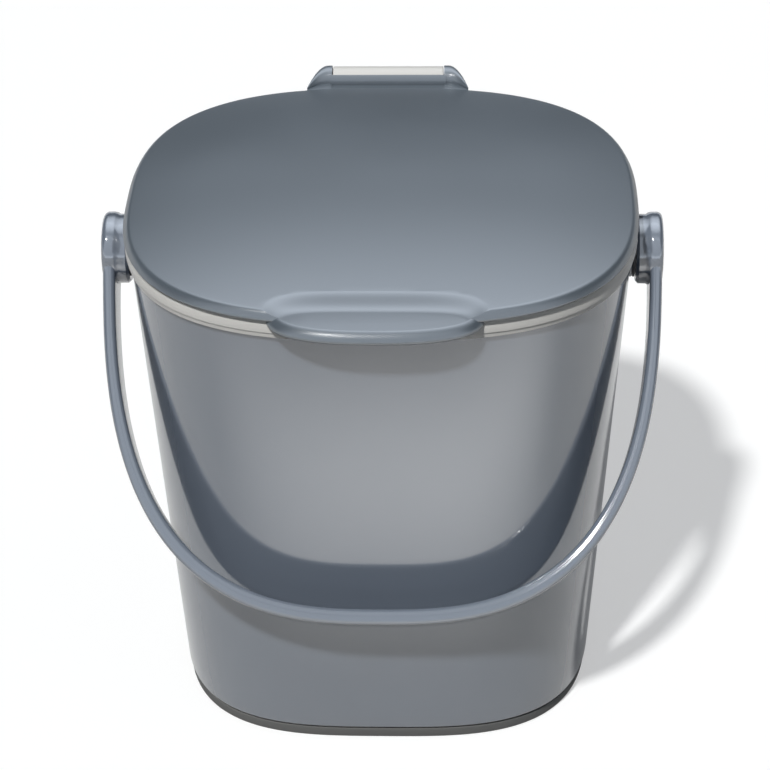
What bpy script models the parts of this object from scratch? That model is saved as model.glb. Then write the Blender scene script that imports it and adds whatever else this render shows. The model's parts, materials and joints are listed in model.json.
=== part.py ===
"""Kitchen compost bin with a hinged domed lid, a light rim ring and a swinging hoop handle.

Frame: +Z up, the front with the thumb tab faces -Y, +X is the right side seen from the front.
The origin is on the worktop, in the middle of the bin's overall width and depth.
"""
import math

import bmesh
import bpy
from mathutils import Matrix, Vector

MM = 0.001

# Clearance between neighbouring pieces
GAP = 0.3 * MM
OVERRUN = 1.0 * MM

# Outline of the bucket: half sizes on the worktop and at the rim, and how square the ovals are
BASE_HALF_WIDTH = 76.2 * MM
BASE_HALF_DEPTH = 78.2 * MM
BASE_SQUARENESS = 3.2
RIM_HALF_WIDTH = 88.8 * MM
RIM_HALF_DEPTH = 80.3 * MM
RIM_SQUARENESS = 2.72
RIM_Z = 177.6 * MM

# Bucket
WALL = 2.8 * MM
SKIRT_WALL = 2.2 * MM
FLOOR_Z = 12.0 * MM
BOWL_RADIUS = 24.0 * MM
SKIRT_Z = 4.2 * MM
SKIRT_EDGE_RADIUS = 1.5 * MM
SPIGOT_DEPTH = 4.2 * MM
SPIGOT_INSET = 1.2 * MM

# Foot ring and base plate
FOOT_INSET = 0.5 * MM
FOOT_CHAMFER = 0.5 * MM
FOOT_TONGUE_WIDTH = 2.0 * MM
FOOT_TONGUE_Z = 7.5 * MM
FOOT_LEDGE_Z = 1.6 * MM
FOOT_LEDGE_INSET = 10.0 * MM
PLATE_THICKNESS = 2.2 * MM
PLATE_CHAMFER = 0.4 * MM

# Rim ring: a channel that clips over the top edge of the bucket
RING_PROUD = 0.5 * MM
RING_TOP = 2.0 * MM
RING_EDGE = 0.6 * MM
RING_STEP = 0.35 * MM
RING_STEP_HEIGHT = 1.6 * MM
RING_INNER_LEG = 1.5 * MM
RING_INNER_DROP = 5.4 * MM

# Lid shell
LID_SIDE_OVERHANG = 1.6 * MM
LID_END_OVERHANG = 2.7 * MM
LID_HALF_WIDTH = RIM_HALF_WIDTH + LID_SIDE_OVERHANG
LID_HALF_DEPTH = RIM_HALF_DEPTH + LID_END_OVERHANG
LID_SEAT_GAP = 0.6 * MM
LID_EDGE_HEIGHT = 3.4 * MM
LID_CROWN_RISE = 5.6 * MM
LID_CROWN_POWER = 2.6
LID_THICKNESS = 2.0 * MM
LID_EDGE_WALL = 2.8 * MM
LID_EDGE_ROUND = 1.1 * MM
CROWN_TOP_SHARES = (0.25, 0.45, 0.62, 0.76, 0.87, 0.94)
CROWN_UNDER_SHARES = (0.86, 0.72, 0.5, 0.25)

# Seal and liner under the lid
SEAL_WIDTH = 3.0 * MM
SEAL_HEIGHT = 1.4 * MM
SEAL_CHAMFER = 0.5 * MM
LINER_FLANGE = 1.0 * MM
LINER_FLANGE_STEP = 1.8 * MM
LINER_WALL = 2.0 * MM
LINER_DROP = 6.1 * MM
LINER_CORNER = 2.0 * MM

# Thumb tab at the front of the lid, and the shallow shelf that it cuts into the dome
TAB_HALF_WIDTH = 36.6 * MM
TAB_REACH = 8.2 * MM
TAB_ROOT_DEPTH = 17.0 * MM
TAB_SQUARENESS = 2.55
TAB_THICKNESS = 4.4 * MM
TAB_DROP = 2.6 * MM
TAB_EDGE_RADIUS = 2.1 * MM
TAB_BITE = 1.5 * MM
TAB_RISE_SHARE = 0.1
SHELF_DEPTH = 5.2 * MM
SHELF_SIDE_INSET = 1.4 * MM
SHELF_SQUARENESS = 7.0
SHELF_FILLET = 1.2 * MM
SHELF_SKIM = 0.05 * MM

# Rear hinge
HINGE_SETBACK = 8.0 * MM
HINGE_RISE = 3.5 * MM
BARREL_RADIUS = 4.5 * MM
BARREL_HALF_LENGTH = 21.0 * MM
BRACKET_DROP = 4.4 * MM
BRACKET_SLOPE = math.radians(30)
EAR_RADIUS = 4.8 * MM
EAR_WIDTH = 1.6 * MM
EAR_FLARE = 7.6 * MM
EAR_SLOPE_POWER = 1.95
EAR_END_SHARE = 0.12
EAR_STEPS = 5
EAR_UNDER_ANGLE = math.radians(-125)
EAR_FRONT_ANGLE = math.radians(118)
SADDLE_LIP = 0.7 * MM
SADDLE_UNDER_ANGLE = math.radians(207)
SADDLE_TOP_ANGLE = math.radians(140)
HINGE_PIN_RADIUS = 1.5 * MM
HINGE_PLUG_LENGTH = 2.0 * MM
HINGE_PIN_PAST_EAR = 0.4 * MM

# Handle pivots
PIVOT_Y = 0.0 * MM
PIVOT_Z = 161.6 * MM
BOSS_RADIUS = 10.0 * MM
BOSS_PROUD = 1.2 * MM
BUSH_FLANGE = 0.6 * MM
BUSH_WALL = 1.5 * MM
PIVOT_PIN_RADIUS = 3.0 * MM
BOSS_SKIN = 1.2 * MM

# Handle: a flat strap bent into a hoop, with a round hub at each end
HUB_LENGTH = 4.7 * MM
HUB_RADIUS = 12.4 * MM
PAD_RADIUS = 13.2 * MM
PAD_PROUD = 0.4 * MM
PAD_ROUND = 2.0 * MM
HUB_SKIN = 2.6 * MM
STRAP_THICKNESS = 4.4 * MM
STRAP_MIDDLE_THICKNESS = 5.5 * MM
STRAP_WIDTH = 18.0 * MM
STRAP_FLARE = 5.0 * MM
STRAP_FLARE_LENGTH = 26.0 * MM
STRAP_EDGE_RADIUS = 1.8 * MM
HOOP_REACH = 132.0 * MM
HOOP_SQUARENESS = 2.75

# Smoothness of the faceted surfaces
OVAL_POINTS = 56
TURNED_POINTS = 28
HOOP_SECTIONS = 48
CORNER_STEPS = 3
BOWL_STEPS = 5
SMOOTH_ANGLE = math.radians(40)
REST_ANGLE_STEP = math.radians(0.01)

# Colours as linear RGB, with roughness
CHARCOAL = (0.15, 0.17, 0.195)
LIGHT_GREY = (0.60, 0.59, 0.57)
FOOT_GREY = (0.085, 0.085, 0.082)
SEAL_GREY = (0.16, 0.17, 0.18)
STEEL = (0.62, 0.62, 0.60)
NYLON_BLACK = (0.02, 0.02, 0.022)

# Places that follow from the sizes above
RING_TOP_Z = RIM_Z + GAP + RING_TOP
RING_OUTER_INSET = -RING_PROUD
LID_BOTTOM_Z = RING_TOP_Z + LID_SEAT_GAP
LID_SHOULDER_Z = LID_BOTTOM_Z + LID_EDGE_HEIGHT
LID_CROWN_Z = LID_SHOULDER_Z + LID_CROWN_RISE
SEAL_BOTTOM_Z = RING_TOP_Z + GAP
SEAL_TOP_Z = SEAL_BOTTOM_Z + SEAL_HEIGHT
GROOVE_Z = SEAL_TOP_Z + GAP
SEAL_OUTER_INSET = LID_EDGE_WALL + GAP
LINER_INSET = SEAL_OUTER_INSET + SEAL_WIDTH + GAP
LID_ROOT_Y = LID_HALF_DEPTH - LID_EDGE_WALL
TAB_FRONT_Y = -(LID_HALF_DEPTH + TAB_REACH)
TAB_TOP_Z = LID_BOTTOM_Z - TAB_DROP + TAB_THICKNESS
HINGE_Y = LID_HALF_DEPTH + HINGE_SETBACK
HINGE_Z = RING_TOP_Z + HINGE_RISE
EAR_START = BARREL_HALF_LENGTH + GAP
EAR_END = EAR_START + EAR_WIDTH


def wall_size(z):
    """Half width, half depth and squareness of the bucket's outside at height z."""
    share = z / RIM_Z
    half_width = BASE_HALF_WIDTH + (RIM_HALF_WIDTH - BASE_HALF_WIDTH) * share
    half_depth = BASE_HALF_DEPTH + (RIM_HALF_DEPTH - BASE_HALF_DEPTH) * share
    squareness = BASE_SQUARENESS + (RIM_SQUARENESS - BASE_SQUARENESS) * min(share, 1)
    return half_width, half_depth, squareness


BOSS_FACE_X = wall_size(PIVOT_Z)[0] + BOSS_PROUD
BORE_END_X = wall_size(PIVOT_Z)[0] - WALL + BOSS_SKIN
FLANGE_X = BOSS_FACE_X + GAP
HUB_INNER_X = FLANGE_X + BUSH_FLANGE + GAP
HOOP_HALF_WIDTH = HUB_INNER_X + HUB_LENGTH + STRAP_THICKNESS / 2
PAD_OUTER_X = HOOP_HALF_WIDTH + STRAP_THICKNESS / 2 + PAD_PROUD
HUB_BORE_X = PAD_OUTER_X - HUB_SKIN


def strap_gap(below):
    """Room between the bucket's front wall and the strap's inner edge, at an angle below level."""
    along = HOOP_REACH - STRAP_MIDDLE_THICKNESS / 2 + STRAP_EDGE_RADIUS
    across = STRAP_WIDTH / 2 - STRAP_EDGE_RADIUS
    forward = along * math.cos(below) - across * math.sin(below) - STRAP_EDGE_RADIUS - PIVOT_Y
    height = PIVOT_Z - along * math.sin(below) - across * math.cos(below)
    return forward - wall_size(height)[1]


def rest_below_level():
    """Angle below level at which the lowered handle lies against the bucket."""
    level, steep = 0.0, math.pi / 2
    while steep - level > REST_ANGLE_STEP:
        middle = (level + steep) / 2
        if strap_gap(middle) > GAP:
            level = middle
        else:
            steep = middle
    return level


def overall_reach():
    """How far the bin reaches in front of and behind the middle of the bucket."""
    below = rest_below_level()
    strap_reach = (
        (HOOP_REACH + STRAP_MIDDLE_THICKNESS / 2 - STRAP_EDGE_RADIUS) * math.cos(below)
        + (STRAP_WIDTH / 2 - STRAP_EDGE_RADIUS) * math.sin(below)
        + STRAP_EDGE_RADIUS
        - PIVOT_Y
    )
    front = max(strap_reach, LID_HALF_DEPTH + TAB_REACH)
    rear = HINGE_Y + max(BARREL_RADIUS, EAR_RADIUS)
    return front, rear


def clear_scene():
    for old in list(bpy.data.objects):
        bpy.data.objects.remove(old, do_unlink=True)


def finish_material(name, colour, roughness, metallic=0.0):
    """Principled material in one colour."""
    made = bpy.data.materials.new(name)
    made.use_nodes = True
    shader = made.node_tree.nodes["Principled BSDF"]
    shader.inputs["Base Color"].default_value = (*colour, 1.0)
    shader.inputs["Roughness"].default_value = roughness
    shader.inputs["Metallic"].default_value = metallic
    return made


def oval(half_width, half_depth, squareness, z, centre_y=0.0):
    """Points of a superellipse, anticlockwise seen from above."""
    points = []
    for step in range(OVAL_POINTS):
        angle = math.tau * step / OVAL_POINTS
        cosine, sine = math.cos(angle), math.sin(angle)
        reach = (abs(cosine) ** squareness + abs(sine) ** squareness) ** (-1 / squareness)
        points.append(Vector((half_width * reach * cosine, centre_y + half_depth * reach * sine, z)))
    return points


def wall_ring(z, inset=0.0):
    """Ring that follows the bucket's outside, moved inwards by inset."""
    half_width, half_depth, squareness = wall_size(z)
    return oval(half_width - inset, half_depth - inset, squareness, z)


def lid_ring(z, inset=0.0):
    """Ring that follows the lid's edge, moved inwards by inset."""
    return oval(LID_HALF_WIDTH - inset, LID_HALF_DEPTH - inset, RIM_SQUARENESS, z)


def quarter_turn(steps, start=0.0, end=math.pi / 2):
    """Angles from start to end, both included."""
    return [start + (end - start) * step / steps for step in range(steps + 1)]


def mesh_object(name, builder, finish, carrier):
    """Object from a bmesh whose faces are turned to point outwards, hung on its carrier."""
    bmesh.ops.recalc_face_normals(builder, faces=builder.faces)
    mesh = bpy.data.meshes.new(name)
    builder.to_mesh(mesh)
    builder.free()
    mesh.materials.append(finish)
    mesh.shade_smooth()
    mesh.set_sharp_from_angle(angle=SMOOTH_ANGLE)
    made = bpy.data.objects.new(name, mesh)
    bpy.context.scene.collection.objects.link(made)
    made.parent = carrier
    return made


def bridge(builder, first, second):
    """Join two rings of vertices with quads."""
    count = len(first)
    for step in range(count):
        after = (step + 1) % count
        builder.faces.new((first[step], first[after], second[after], second[step]))


def lofted(name, rings, finish, carrier, endless=False):
    """Solid through a list of rings: an endless loop of rings, or one with a flat cap at each end."""
    builder = bmesh.new()
    loops = [[builder.verts.new(point) for point in ring] for ring in rings]
    for first, second in zip(loops, loops[1:]):
        bridge(builder, first, second)
    if endless:
        bridge(builder, loops[-1], loops[0])
    else:
        builder.faces.new(loops[0])
        builder.faces.new(loops[-1])
    return mesh_object(name, builder, finish, carrier)


def turned_rings(profile, y=0.0, z=0.0):
    """Rings about an axis along X, from pairs of place along X and radius."""
    rings = []
    for x, radius in profile:
        ring = []
        for step in range(TURNED_POINTS):
            angle = math.tau * step / TURNED_POINTS
            ring.append(Vector((x, y + radius * math.cos(angle), z + radius * math.sin(angle))))
        rings.append(ring)
    return rings


def extruded(name, outline, half_length, finish, carrier):
    """Straight prism along X from an outline of (y, z) points."""
    rings = [[Vector((side * half_length, y, z)) for y, z in outline] for side in (-1, 1)]
    return lofted(name, rings, finish, carrier)


def combine(target, tool, operation):
    """Boolean modifier; the tool stays as a hidden helper."""
    modifier = target.modifiers.new(tool.name, "BOOLEAN")
    modifier.object = tool
    modifier.operation = operation
    modifier.solver = "EXACT"
    tool.hide_render = True
    tool.display_type = "WIRE"


def make_joint_empty(name, place, carrier):
    made = bpy.data.objects.new(name, None)
    bpy.context.scene.collection.objects.link(made)
    made.location = place
    made.parent = carrier
    return made


def carry(piece, joint):
    """Hang a piece that was made in the bin's frame on its joint's empty."""
    piece.parent = joint
    piece.matrix_parent_inverse = Matrix.Translation(joint.location).inverted()


def make_bucket(frame, finish):
    """One-piece bucket: tapering wall, smooth bowl floor, skirt below it and a spigot for the rim ring."""
    top_z = FLOOR_Z + BOWL_RADIUS
    outer_radius = BOWL_RADIUS + WALL
    start = math.acos((outer_radius - SKIRT_WALL) / outer_radius)
    underside = []
    for angle in quarter_turn(BOWL_STEPS, start):
        inset = outer_radius - outer_radius * math.cos(angle)
        underside.append(wall_ring(top_z - outer_radius * math.sin(angle), inset))
    skirt_edge = [wall_ring(SKIRT_Z, SKIRT_WALL)]
    for angle in quarter_turn(CORNER_STEPS):
        lift = SKIRT_EDGE_RADIUS * (1 - math.cos(angle))
        skirt_edge.append(wall_ring(SKIRT_Z + lift, SKIRT_EDGE_RADIUS * (1 - math.sin(angle))))
    spigot_z = RIM_Z - SPIGOT_DEPTH
    top = [
        wall_ring(spigot_z),
        wall_ring(spigot_z, SPIGOT_INSET),
        wall_ring(RIM_Z, SPIGOT_INSET),
        wall_ring(RIM_Z, WALL),
    ]
    bowl = []
    for angle in quarter_turn(BOWL_STEPS):
        inset = WALL + BOWL_RADIUS * (1 - math.cos(angle))
        bowl.append(wall_ring(top_z - BOWL_RADIUS * math.sin(angle), inset))
    bucket = lofted("bucket", underside[::-1] + skirt_edge + top + bowl, finish, frame)

    boss_root = BORE_END_X - GAP
    bore_radius = PIVOT_PIN_RADIUS + GAP + BUSH_WALL + GAP
    for side, word in ((-1, "left"), (1, "right")):
        boss = [(side * boss_root, BOSS_RADIUS), (side * BOSS_FACE_X, BOSS_RADIUS)]
        solid = lofted(f"boss_{word}", turned_rings(boss, PIVOT_Y, PIVOT_Z), finish, frame)
        combine(bucket, solid, "UNION")
        hole = [(side * BORE_END_X, bore_radius), (side * (BOSS_FACE_X + OVERRUN), bore_radius)]
        cutter = lofted(f"boss_bore_{word}", turned_rings(hole, PIVOT_Y, PIVOT_Z), finish, frame)
        combine(bucket, cutter, "DIFFERENCE")
    return bucket


def make_foot(frame, finish):
    """Non-slip foot ring: a band below the skirt, a tongue inside it and a ledge for the base plate."""
    tongue_outer = SKIRT_WALL + GAP
    tongue_inner = tongue_outer + FOOT_TONGUE_WIDTH
    profile = (
        (FOOT_INSET + FOOT_CHAMFER, 0.0),
        (FOOT_INSET, FOOT_CHAMFER),
        (FOOT_INSET, SKIRT_Z - GAP),
        (tongue_outer, SKIRT_Z - GAP),
        (tongue_outer, FOOT_TONGUE_Z),
        (tongue_inner, FOOT_TONGUE_Z),
        (tongue_inner, FOOT_LEDGE_Z),
        (FOOT_LEDGE_INSET, FOOT_LEDGE_Z),
        (FOOT_LEDGE_INSET, 0.0),
    )
    rings = [wall_ring(z, inset) for inset, z in profile]
    return lofted("foot_ring", rings, finish, frame, endless=True)


def make_base_plate(frame, finish):
    """Plate that closes the hollow under the bowl and lies on the foot ring's ledge."""
    inset = SKIRT_WALL + GAP + FOOT_TONGUE_WIDTH + GAP
    low = FOOT_LEDGE_Z + GAP
    high = low + PLATE_THICKNESS
    rings = [
        wall_ring(low, inset + PLATE_CHAMFER),
        wall_ring(low + PLATE_CHAMFER, inset),
        wall_ring(high - PLATE_CHAMFER, inset),
        wall_ring(high, inset + PLATE_CHAMFER),
    ]
    return lofted("base_plate", rings, finish, frame)


def make_rim_ring(frame, finish):
    """Light ring over the bucket's edge, with the hinge barrel on a bracket at its back."""
    low = RIM_Z - SPIGOT_DEPTH + GAP
    ceiling = RIM_Z + GAP
    outer_leg_inset = SPIGOT_INSET - GAP
    inner_leg_inset = WALL + GAP
    ring_inset = inner_leg_inset + RING_INNER_LEG
    inner_low = RIM_Z - RING_INNER_DROP
    profile = (
        (RING_OUTER_INSET + RING_STEP, low),
        (RING_OUTER_INSET + RING_STEP, low + RING_STEP_HEIGHT),
        (RING_OUTER_INSET, low + RING_STEP_HEIGHT + RING_STEP),
        (RING_OUTER_INSET, RING_TOP_Z - RING_EDGE),
        (RING_OUTER_INSET + RING_EDGE, RING_TOP_Z),
        (ring_inset - RING_EDGE, RING_TOP_Z),
        (ring_inset, RING_TOP_Z - RING_EDGE),
        (ring_inset, inner_low),
        (inner_leg_inset, inner_low),
        (inner_leg_inset, ceiling),
        (outer_leg_inset, ceiling),
        (outer_leg_inset, low),
    )
    ring = lofted("rim_ring", [wall_ring(z, inset) for inset, z in profile], finish, frame, endless=True)

    barrel = [(side * BARREL_HALF_LENGTH, BARREL_RADIUS) for side in (-1, 1)]
    barrel_solid = lofted("barrel", turned_rings(barrel, HINGE_Y, HINGE_Z), finish, frame)
    root_y = RIM_HALF_DEPTH + RING_PROUD / 2 - outer_leg_inset
    bracket_low = RING_TOP_Z - BRACKET_DROP
    bracket_high = RING_TOP_Z - RING_EDGE - GAP
    barrel_under = HINGE_Z - BARREL_RADIUS / 2
    outline = (
        (root_y, bracket_low),
        (HINGE_Y - BARREL_RADIUS, bracket_low),
        (HINGE_Y, bracket_high - BARREL_RADIUS / 2),
        (HINGE_Y + BARREL_RADIUS / 2, bracket_high),
        (HINGE_Y + BARREL_RADIUS * math.cos(BRACKET_SLOPE), barrel_under),
        (HINGE_Y, HINGE_Z),
        (HINGE_Y - BARREL_RADIUS / 2, barrel_under),
        (HINGE_Y - BARREL_RADIUS, bracket_high),
        (root_y, bracket_high),
    )
    bracket = extruded("hinge_bracket", outline, BARREL_HALF_LENGTH - GAP, finish, frame)
    combine(ring, bracket, "UNION")
    combine(ring, barrel_solid, "UNION")
    bore_end = BARREL_HALF_LENGTH + OVERRUN
    bore = [(side * bore_end, HINGE_PIN_RADIUS + GAP) for side in (-1, 1)]
    combine(ring, lofted("barrel_bore", turned_rings(bore, HINGE_Y, HINGE_Z), finish, frame), "DIFFERENCE")
    return ring


def crown_z(share):
    """Height of the lid's top at a share of the way from its middle to its edge."""
    return LID_CROWN_Z - LID_CROWN_RISE * share**LID_CROWN_POWER


def crown_ring(share, drop=0.0):
    """Ring on the dome at a share of the lid's half sizes."""
    half_width = LID_HALF_WIDTH * share
    half_depth = LID_HALF_DEPTH * share
    return oval(half_width, half_depth, RIM_SQUARENESS, crown_z(share) - drop)


def tilted(ring):
    """Ring whose height falls towards the front, as the tab's top does."""
    for point in ring:
        point.z += TAB_RISE_SHARE * (point.y - TAB_FRONT_Y)
    return ring


def make_tab(frame, finish):
    """Thumb tab: a rounded slab, level below and tilted on top, that hangs just outside the rim ring."""
    low = TAB_TOP_Z - TAB_THICKNESS
    high = TAB_TOP_Z + SHELF_SKIM
    centre_y = TAB_FRONT_Y + TAB_ROOT_DEPTH
    under, over = [], []
    for angle in quarter_turn(CORNER_STEPS)[::-1]:
        inset = TAB_EDGE_RADIUS * (1 - math.cos(angle))
        lift = TAB_EDGE_RADIUS * (1 - math.sin(angle))
        size = (TAB_HALF_WIDTH - inset, TAB_ROOT_DEPTH - inset, TAB_SQUARENESS)
        under.append(oval(*size, low + lift, centre_y))
        over.append(tilted(oval(*size, high - lift, centre_y)))
    rings = under + over[::-1]
    tab = lofted("tab", rings, finish, frame)
    back_rings = [lid_ring(z, TAB_BITE) for z in (low - OVERRUN, LID_CROWN_Z)]
    combine(tab, lofted("tab_back", back_rings, finish, frame), "DIFFERENCE")
    return tab


def make_shelf_cutter(frame, finish):
    """Tool that takes the dome's front edge away above the tab, with a hollow fillet at its back."""
    back_y = -(LID_HALF_DEPTH - SHELF_DEPTH)
    half_width = TAB_HALF_WIDTH - SHELF_SIDE_INSET
    half_depth = (back_y - TAB_FRONT_Y) / 2 + OVERRUN
    rings = []
    for angle in quarter_turn(CORNER_STEPS):
        inset = SHELF_FILLET * (1 - math.sin(angle))
        lift = SHELF_FILLET * (1 - math.cos(angle))
        size = (half_width - inset, half_depth - inset, SHELF_SQUARENESS)
        rings.append(tilted(oval(*size, TAB_TOP_Z + lift, back_y - half_depth)))
    rings.append(tilted(oval(half_width, half_depth, SHELF_SQUARENESS, LID_CROWN_Z, back_y - half_depth)))
    return lofted("shelf_cutter", rings, finish, frame)


def make_saddle(frame, finish):
    """Wall that rises from the lid's back edge and wraps the front of the hinge barrel."""
    inner = BARREL_RADIUS + GAP
    lip = inner + SADDLE_LIP
    outline = [(LID_ROOT_Y, LID_BOTTOM_Z + GAP)]
    for angle in quarter_turn(CORNER_STEPS + 2, SADDLE_UNDER_ANGLE, SADDLE_TOP_ANGLE):
        outline.append((HINGE_Y + inner * math.cos(angle), HINGE_Z + inner * math.sin(angle)))
    outline.append((HINGE_Y + lip * math.cos(SADDLE_TOP_ANGLE), HINGE_Z + lip * math.sin(SADDLE_TOP_ANGLE)))
    outline.append((LID_ROOT_Y, LID_SHOULDER_Z - GAP))
    return extruded("saddle", outline, EAR_START + EAR_WIDTH / 2, finish, frame)


def make_ear(word, side, frame, finish):
    """Ear beside the barrel that flares down into the lid's back edge."""
    low, high = LID_BOTTOM_Z + GAP, LID_SHOULDER_Z - GAP
    stations = [(EAR_START, 1.0)]
    for step in range(EAR_STEPS + 1):
        along_share = step / EAR_STEPS
        fall = (1 - EAR_END_SHARE) * along_share**EAR_SLOPE_POWER
        stations.append((EAR_END + EAR_FLARE * along_share, 1 - fall))
    rings = []
    for x, share in stations:
        centre_y = LID_ROOT_Y + (HINGE_Y - LID_ROOT_Y) * share
        centre_z = high + (HINGE_Z - high) * share
        radius = EAR_RADIUS * share
        ring = [Vector((side * x, LID_ROOT_Y, high)), Vector((side * x, LID_ROOT_Y, low))]
        for angle in quarter_turn(4 * CORNER_STEPS, EAR_UNDER_ANGLE, EAR_FRONT_ANGLE):
            y, z = centre_y + radius * math.cos(angle), centre_z + radius * math.sin(angle)
            ring.append(Vector((side * x, y, z)))
        rings.append(ring)
    return lofted(f"ear_{word}", rings, finish, frame)


def make_lid_shell(frame, hinge, finish):
    """Domed outer shell of the lid with its tab, saddle and ears."""
    top = [crown_ring(share) for share in CROWN_TOP_SHARES]
    edge_centre_z = LID_BOTTOM_Z + LID_EDGE_ROUND
    edge_top = LID_SHOULDER_Z - edge_centre_z
    for angle in quarter_turn(CORNER_STEPS)[::-1]:
        inset = LID_EDGE_WALL * (1 - math.cos(angle))
        top.append(lid_ring(edge_centre_z + edge_top * math.sin(angle), inset))
    for angle in quarter_turn(CORNER_STEPS - 1)[1:]:
        inset = LID_EDGE_ROUND * (1 - math.cos(angle))
        top.append(lid_ring(edge_centre_z - LID_EDGE_ROUND * math.sin(angle), inset))
    ledge_inset = LINER_INSET + LINER_FLANGE + LINER_FLANGE_STEP + LINER_WALL
    under = [
        lid_ring(LID_BOTTOM_Z, LID_EDGE_WALL),
        lid_ring(GROOVE_Z, LID_EDGE_WALL),
        lid_ring(GROOVE_Z, ledge_inset),
    ]
    under += [crown_ring(share, LID_THICKNESS) for share in CROWN_UNDER_SHARES]
    shell = lofted("lid_shell", top + under, finish, frame)
    combine(shell, make_tab(frame, finish), "UNION")
    combine(shell, make_shelf_cutter(frame, finish), "DIFFERENCE")
    combine(shell, make_saddle(frame, finish), "UNION")
    for side, word in ((-1, "left"), (1, "right")):
        combine(shell, make_ear(word, side, frame, finish), "UNION")
    reach = EAR_END + EAR_FLARE + OVERRUN
    bore = [(side * reach, HINGE_PIN_RADIUS + GAP) for side in (-1, 1)]
    combine(shell, lofted("ear_bore", turned_rings(bore, HINGE_Y, HINGE_Z), finish, frame), "DIFFERENCE")
    carry(shell, hinge)
    return shell


def make_seal(frame, hinge, finish):
    """Soft ring in the groove under the lid's edge, which meets the top of the rim ring."""
    inner = SEAL_OUTER_INSET + SEAL_WIDTH
    profile = (
        (SEAL_OUTER_INSET + SEAL_CHAMFER, SEAL_BOTTOM_Z),
        (SEAL_OUTER_INSET, SEAL_BOTTOM_Z + SEAL_CHAMFER),
        (SEAL_OUTER_INSET, SEAL_TOP_Z),
        (inner, SEAL_TOP_Z),
        (inner, SEAL_BOTTOM_Z + SEAL_CHAMFER),
        (inner - SEAL_CHAMFER, SEAL_BOTTOM_Z),
    )
    rings = [lid_ring(z, inset) for inset, z in profile]
    seal = lofted("lid_seal", rings, finish, frame, endless=True)
    carry(seal, hinge)
    return seal


def make_liner(frame, hinge, finish):
    """Tray that closes the lid's underside and holds the seal in its groove."""
    skirt = LINER_INSET + LINER_FLANGE_STEP
    low = SEAL_TOP_Z - LINER_DROP
    inner = skirt + LINER_WALL
    rings = [lid_ring(low, skirt + LINER_CORNER), lid_ring(low + LINER_CORNER, skirt)]
    rings += [
        lid_ring(SEAL_TOP_Z - LINER_FLANGE, skirt),
        lid_ring(SEAL_TOP_Z - LINER_FLANGE, LINER_INSET),
        lid_ring(SEAL_TOP_Z, LINER_INSET),
        lid_ring(SEAL_TOP_Z, inner),
        lid_ring(low + LINER_WALL + LINER_CORNER, inner),
        lid_ring(low + LINER_WALL, inner + LINER_CORNER),
    ]
    liner = lofted("lid_liner", rings, finish, frame)
    carry(liner, hinge)
    return liner


def make_hinge_pin(frame, hinge, steel, finish):
    """Steel rod through ears and barrel, with a flush plug at each end."""
    pin_end = EAR_END + HINGE_PIN_PAST_EAR
    rod = [(side * pin_end, HINGE_PIN_RADIUS) for side in (-1, 1)]
    carry(lofted("hinge_pin", turned_rings(rod, HINGE_Y, HINGE_Z), steel, frame), hinge)
    for side, word in ((-1, "left"), (1, "right")):
        start = pin_end + GAP
        plug = [(side * start, HINGE_PIN_RADIUS), (side * (start + HINGE_PLUG_LENGTH), HINGE_PIN_RADIUS)]
        carry(lofted(f"hinge_plug_{word}", turned_rings(plug, HINGE_Y, HINGE_Z), finish, frame), hinge)


def make_pivot_bushes(frame, finish):
    """Flanged nylon bush in each boss, whose flange keeps hub and boss apart."""
    bore = PIVOT_PIN_RADIUS + GAP
    sleeve = bore + BUSH_WALL
    inner_end = BORE_END_X + GAP
    for side, word in ((-1, "left"), (1, "right")):
        profile = (
            (side * inner_end, bore),
            (side * inner_end, sleeve),
            (side * FLANGE_X, sleeve),
            (side * FLANGE_X, BOSS_RADIUS),
            (side * (FLANGE_X + BUSH_FLANGE), BOSS_RADIUS),
            (side * (FLANGE_X + BUSH_FLANGE), bore),
        )
        rings = turned_rings(profile, PIVOT_Y, PIVOT_Z)
        lofted(f"pivot_bush_{word}", rings, finish, frame, endless=True)


def strap_section(thickness, width):
    """Rounded rectangle as pairs of (across the thickness, across the width)."""
    corners = []
    half_thickness = thickness / 2 - STRAP_EDGE_RADIUS
    half_width = width / 2 - STRAP_EDGE_RADIUS
    for quadrant, (across, along) in enumerate(((1, 1), (-1, 1), (-1, -1), (1, -1))):
        for angle in quarter_turn(CORNER_STEPS - 1, quadrant * math.pi / 2, (quadrant + 1) * math.pi / 2):
            corners.append(
                (
                    across * half_thickness + STRAP_EDGE_RADIUS * math.cos(angle),
                    along * half_width + STRAP_EDGE_RADIUS * math.sin(angle),
                )
            )
    return corners


def hoop_point(angle):
    """Point of the hoop's middle line, across and up, for an angle from 0 to pi."""
    cosine, sine = math.cos(angle), math.sin(angle)
    reach = (abs(cosine) ** HOOP_SQUARENESS + abs(sine) ** HOOP_SQUARENESS) ** (-1 / HOOP_SQUARENESS)
    return Vector((HOOP_HALF_WIDTH * reach * cosine, 0.0, HOOP_REACH * reach * sine))


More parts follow.
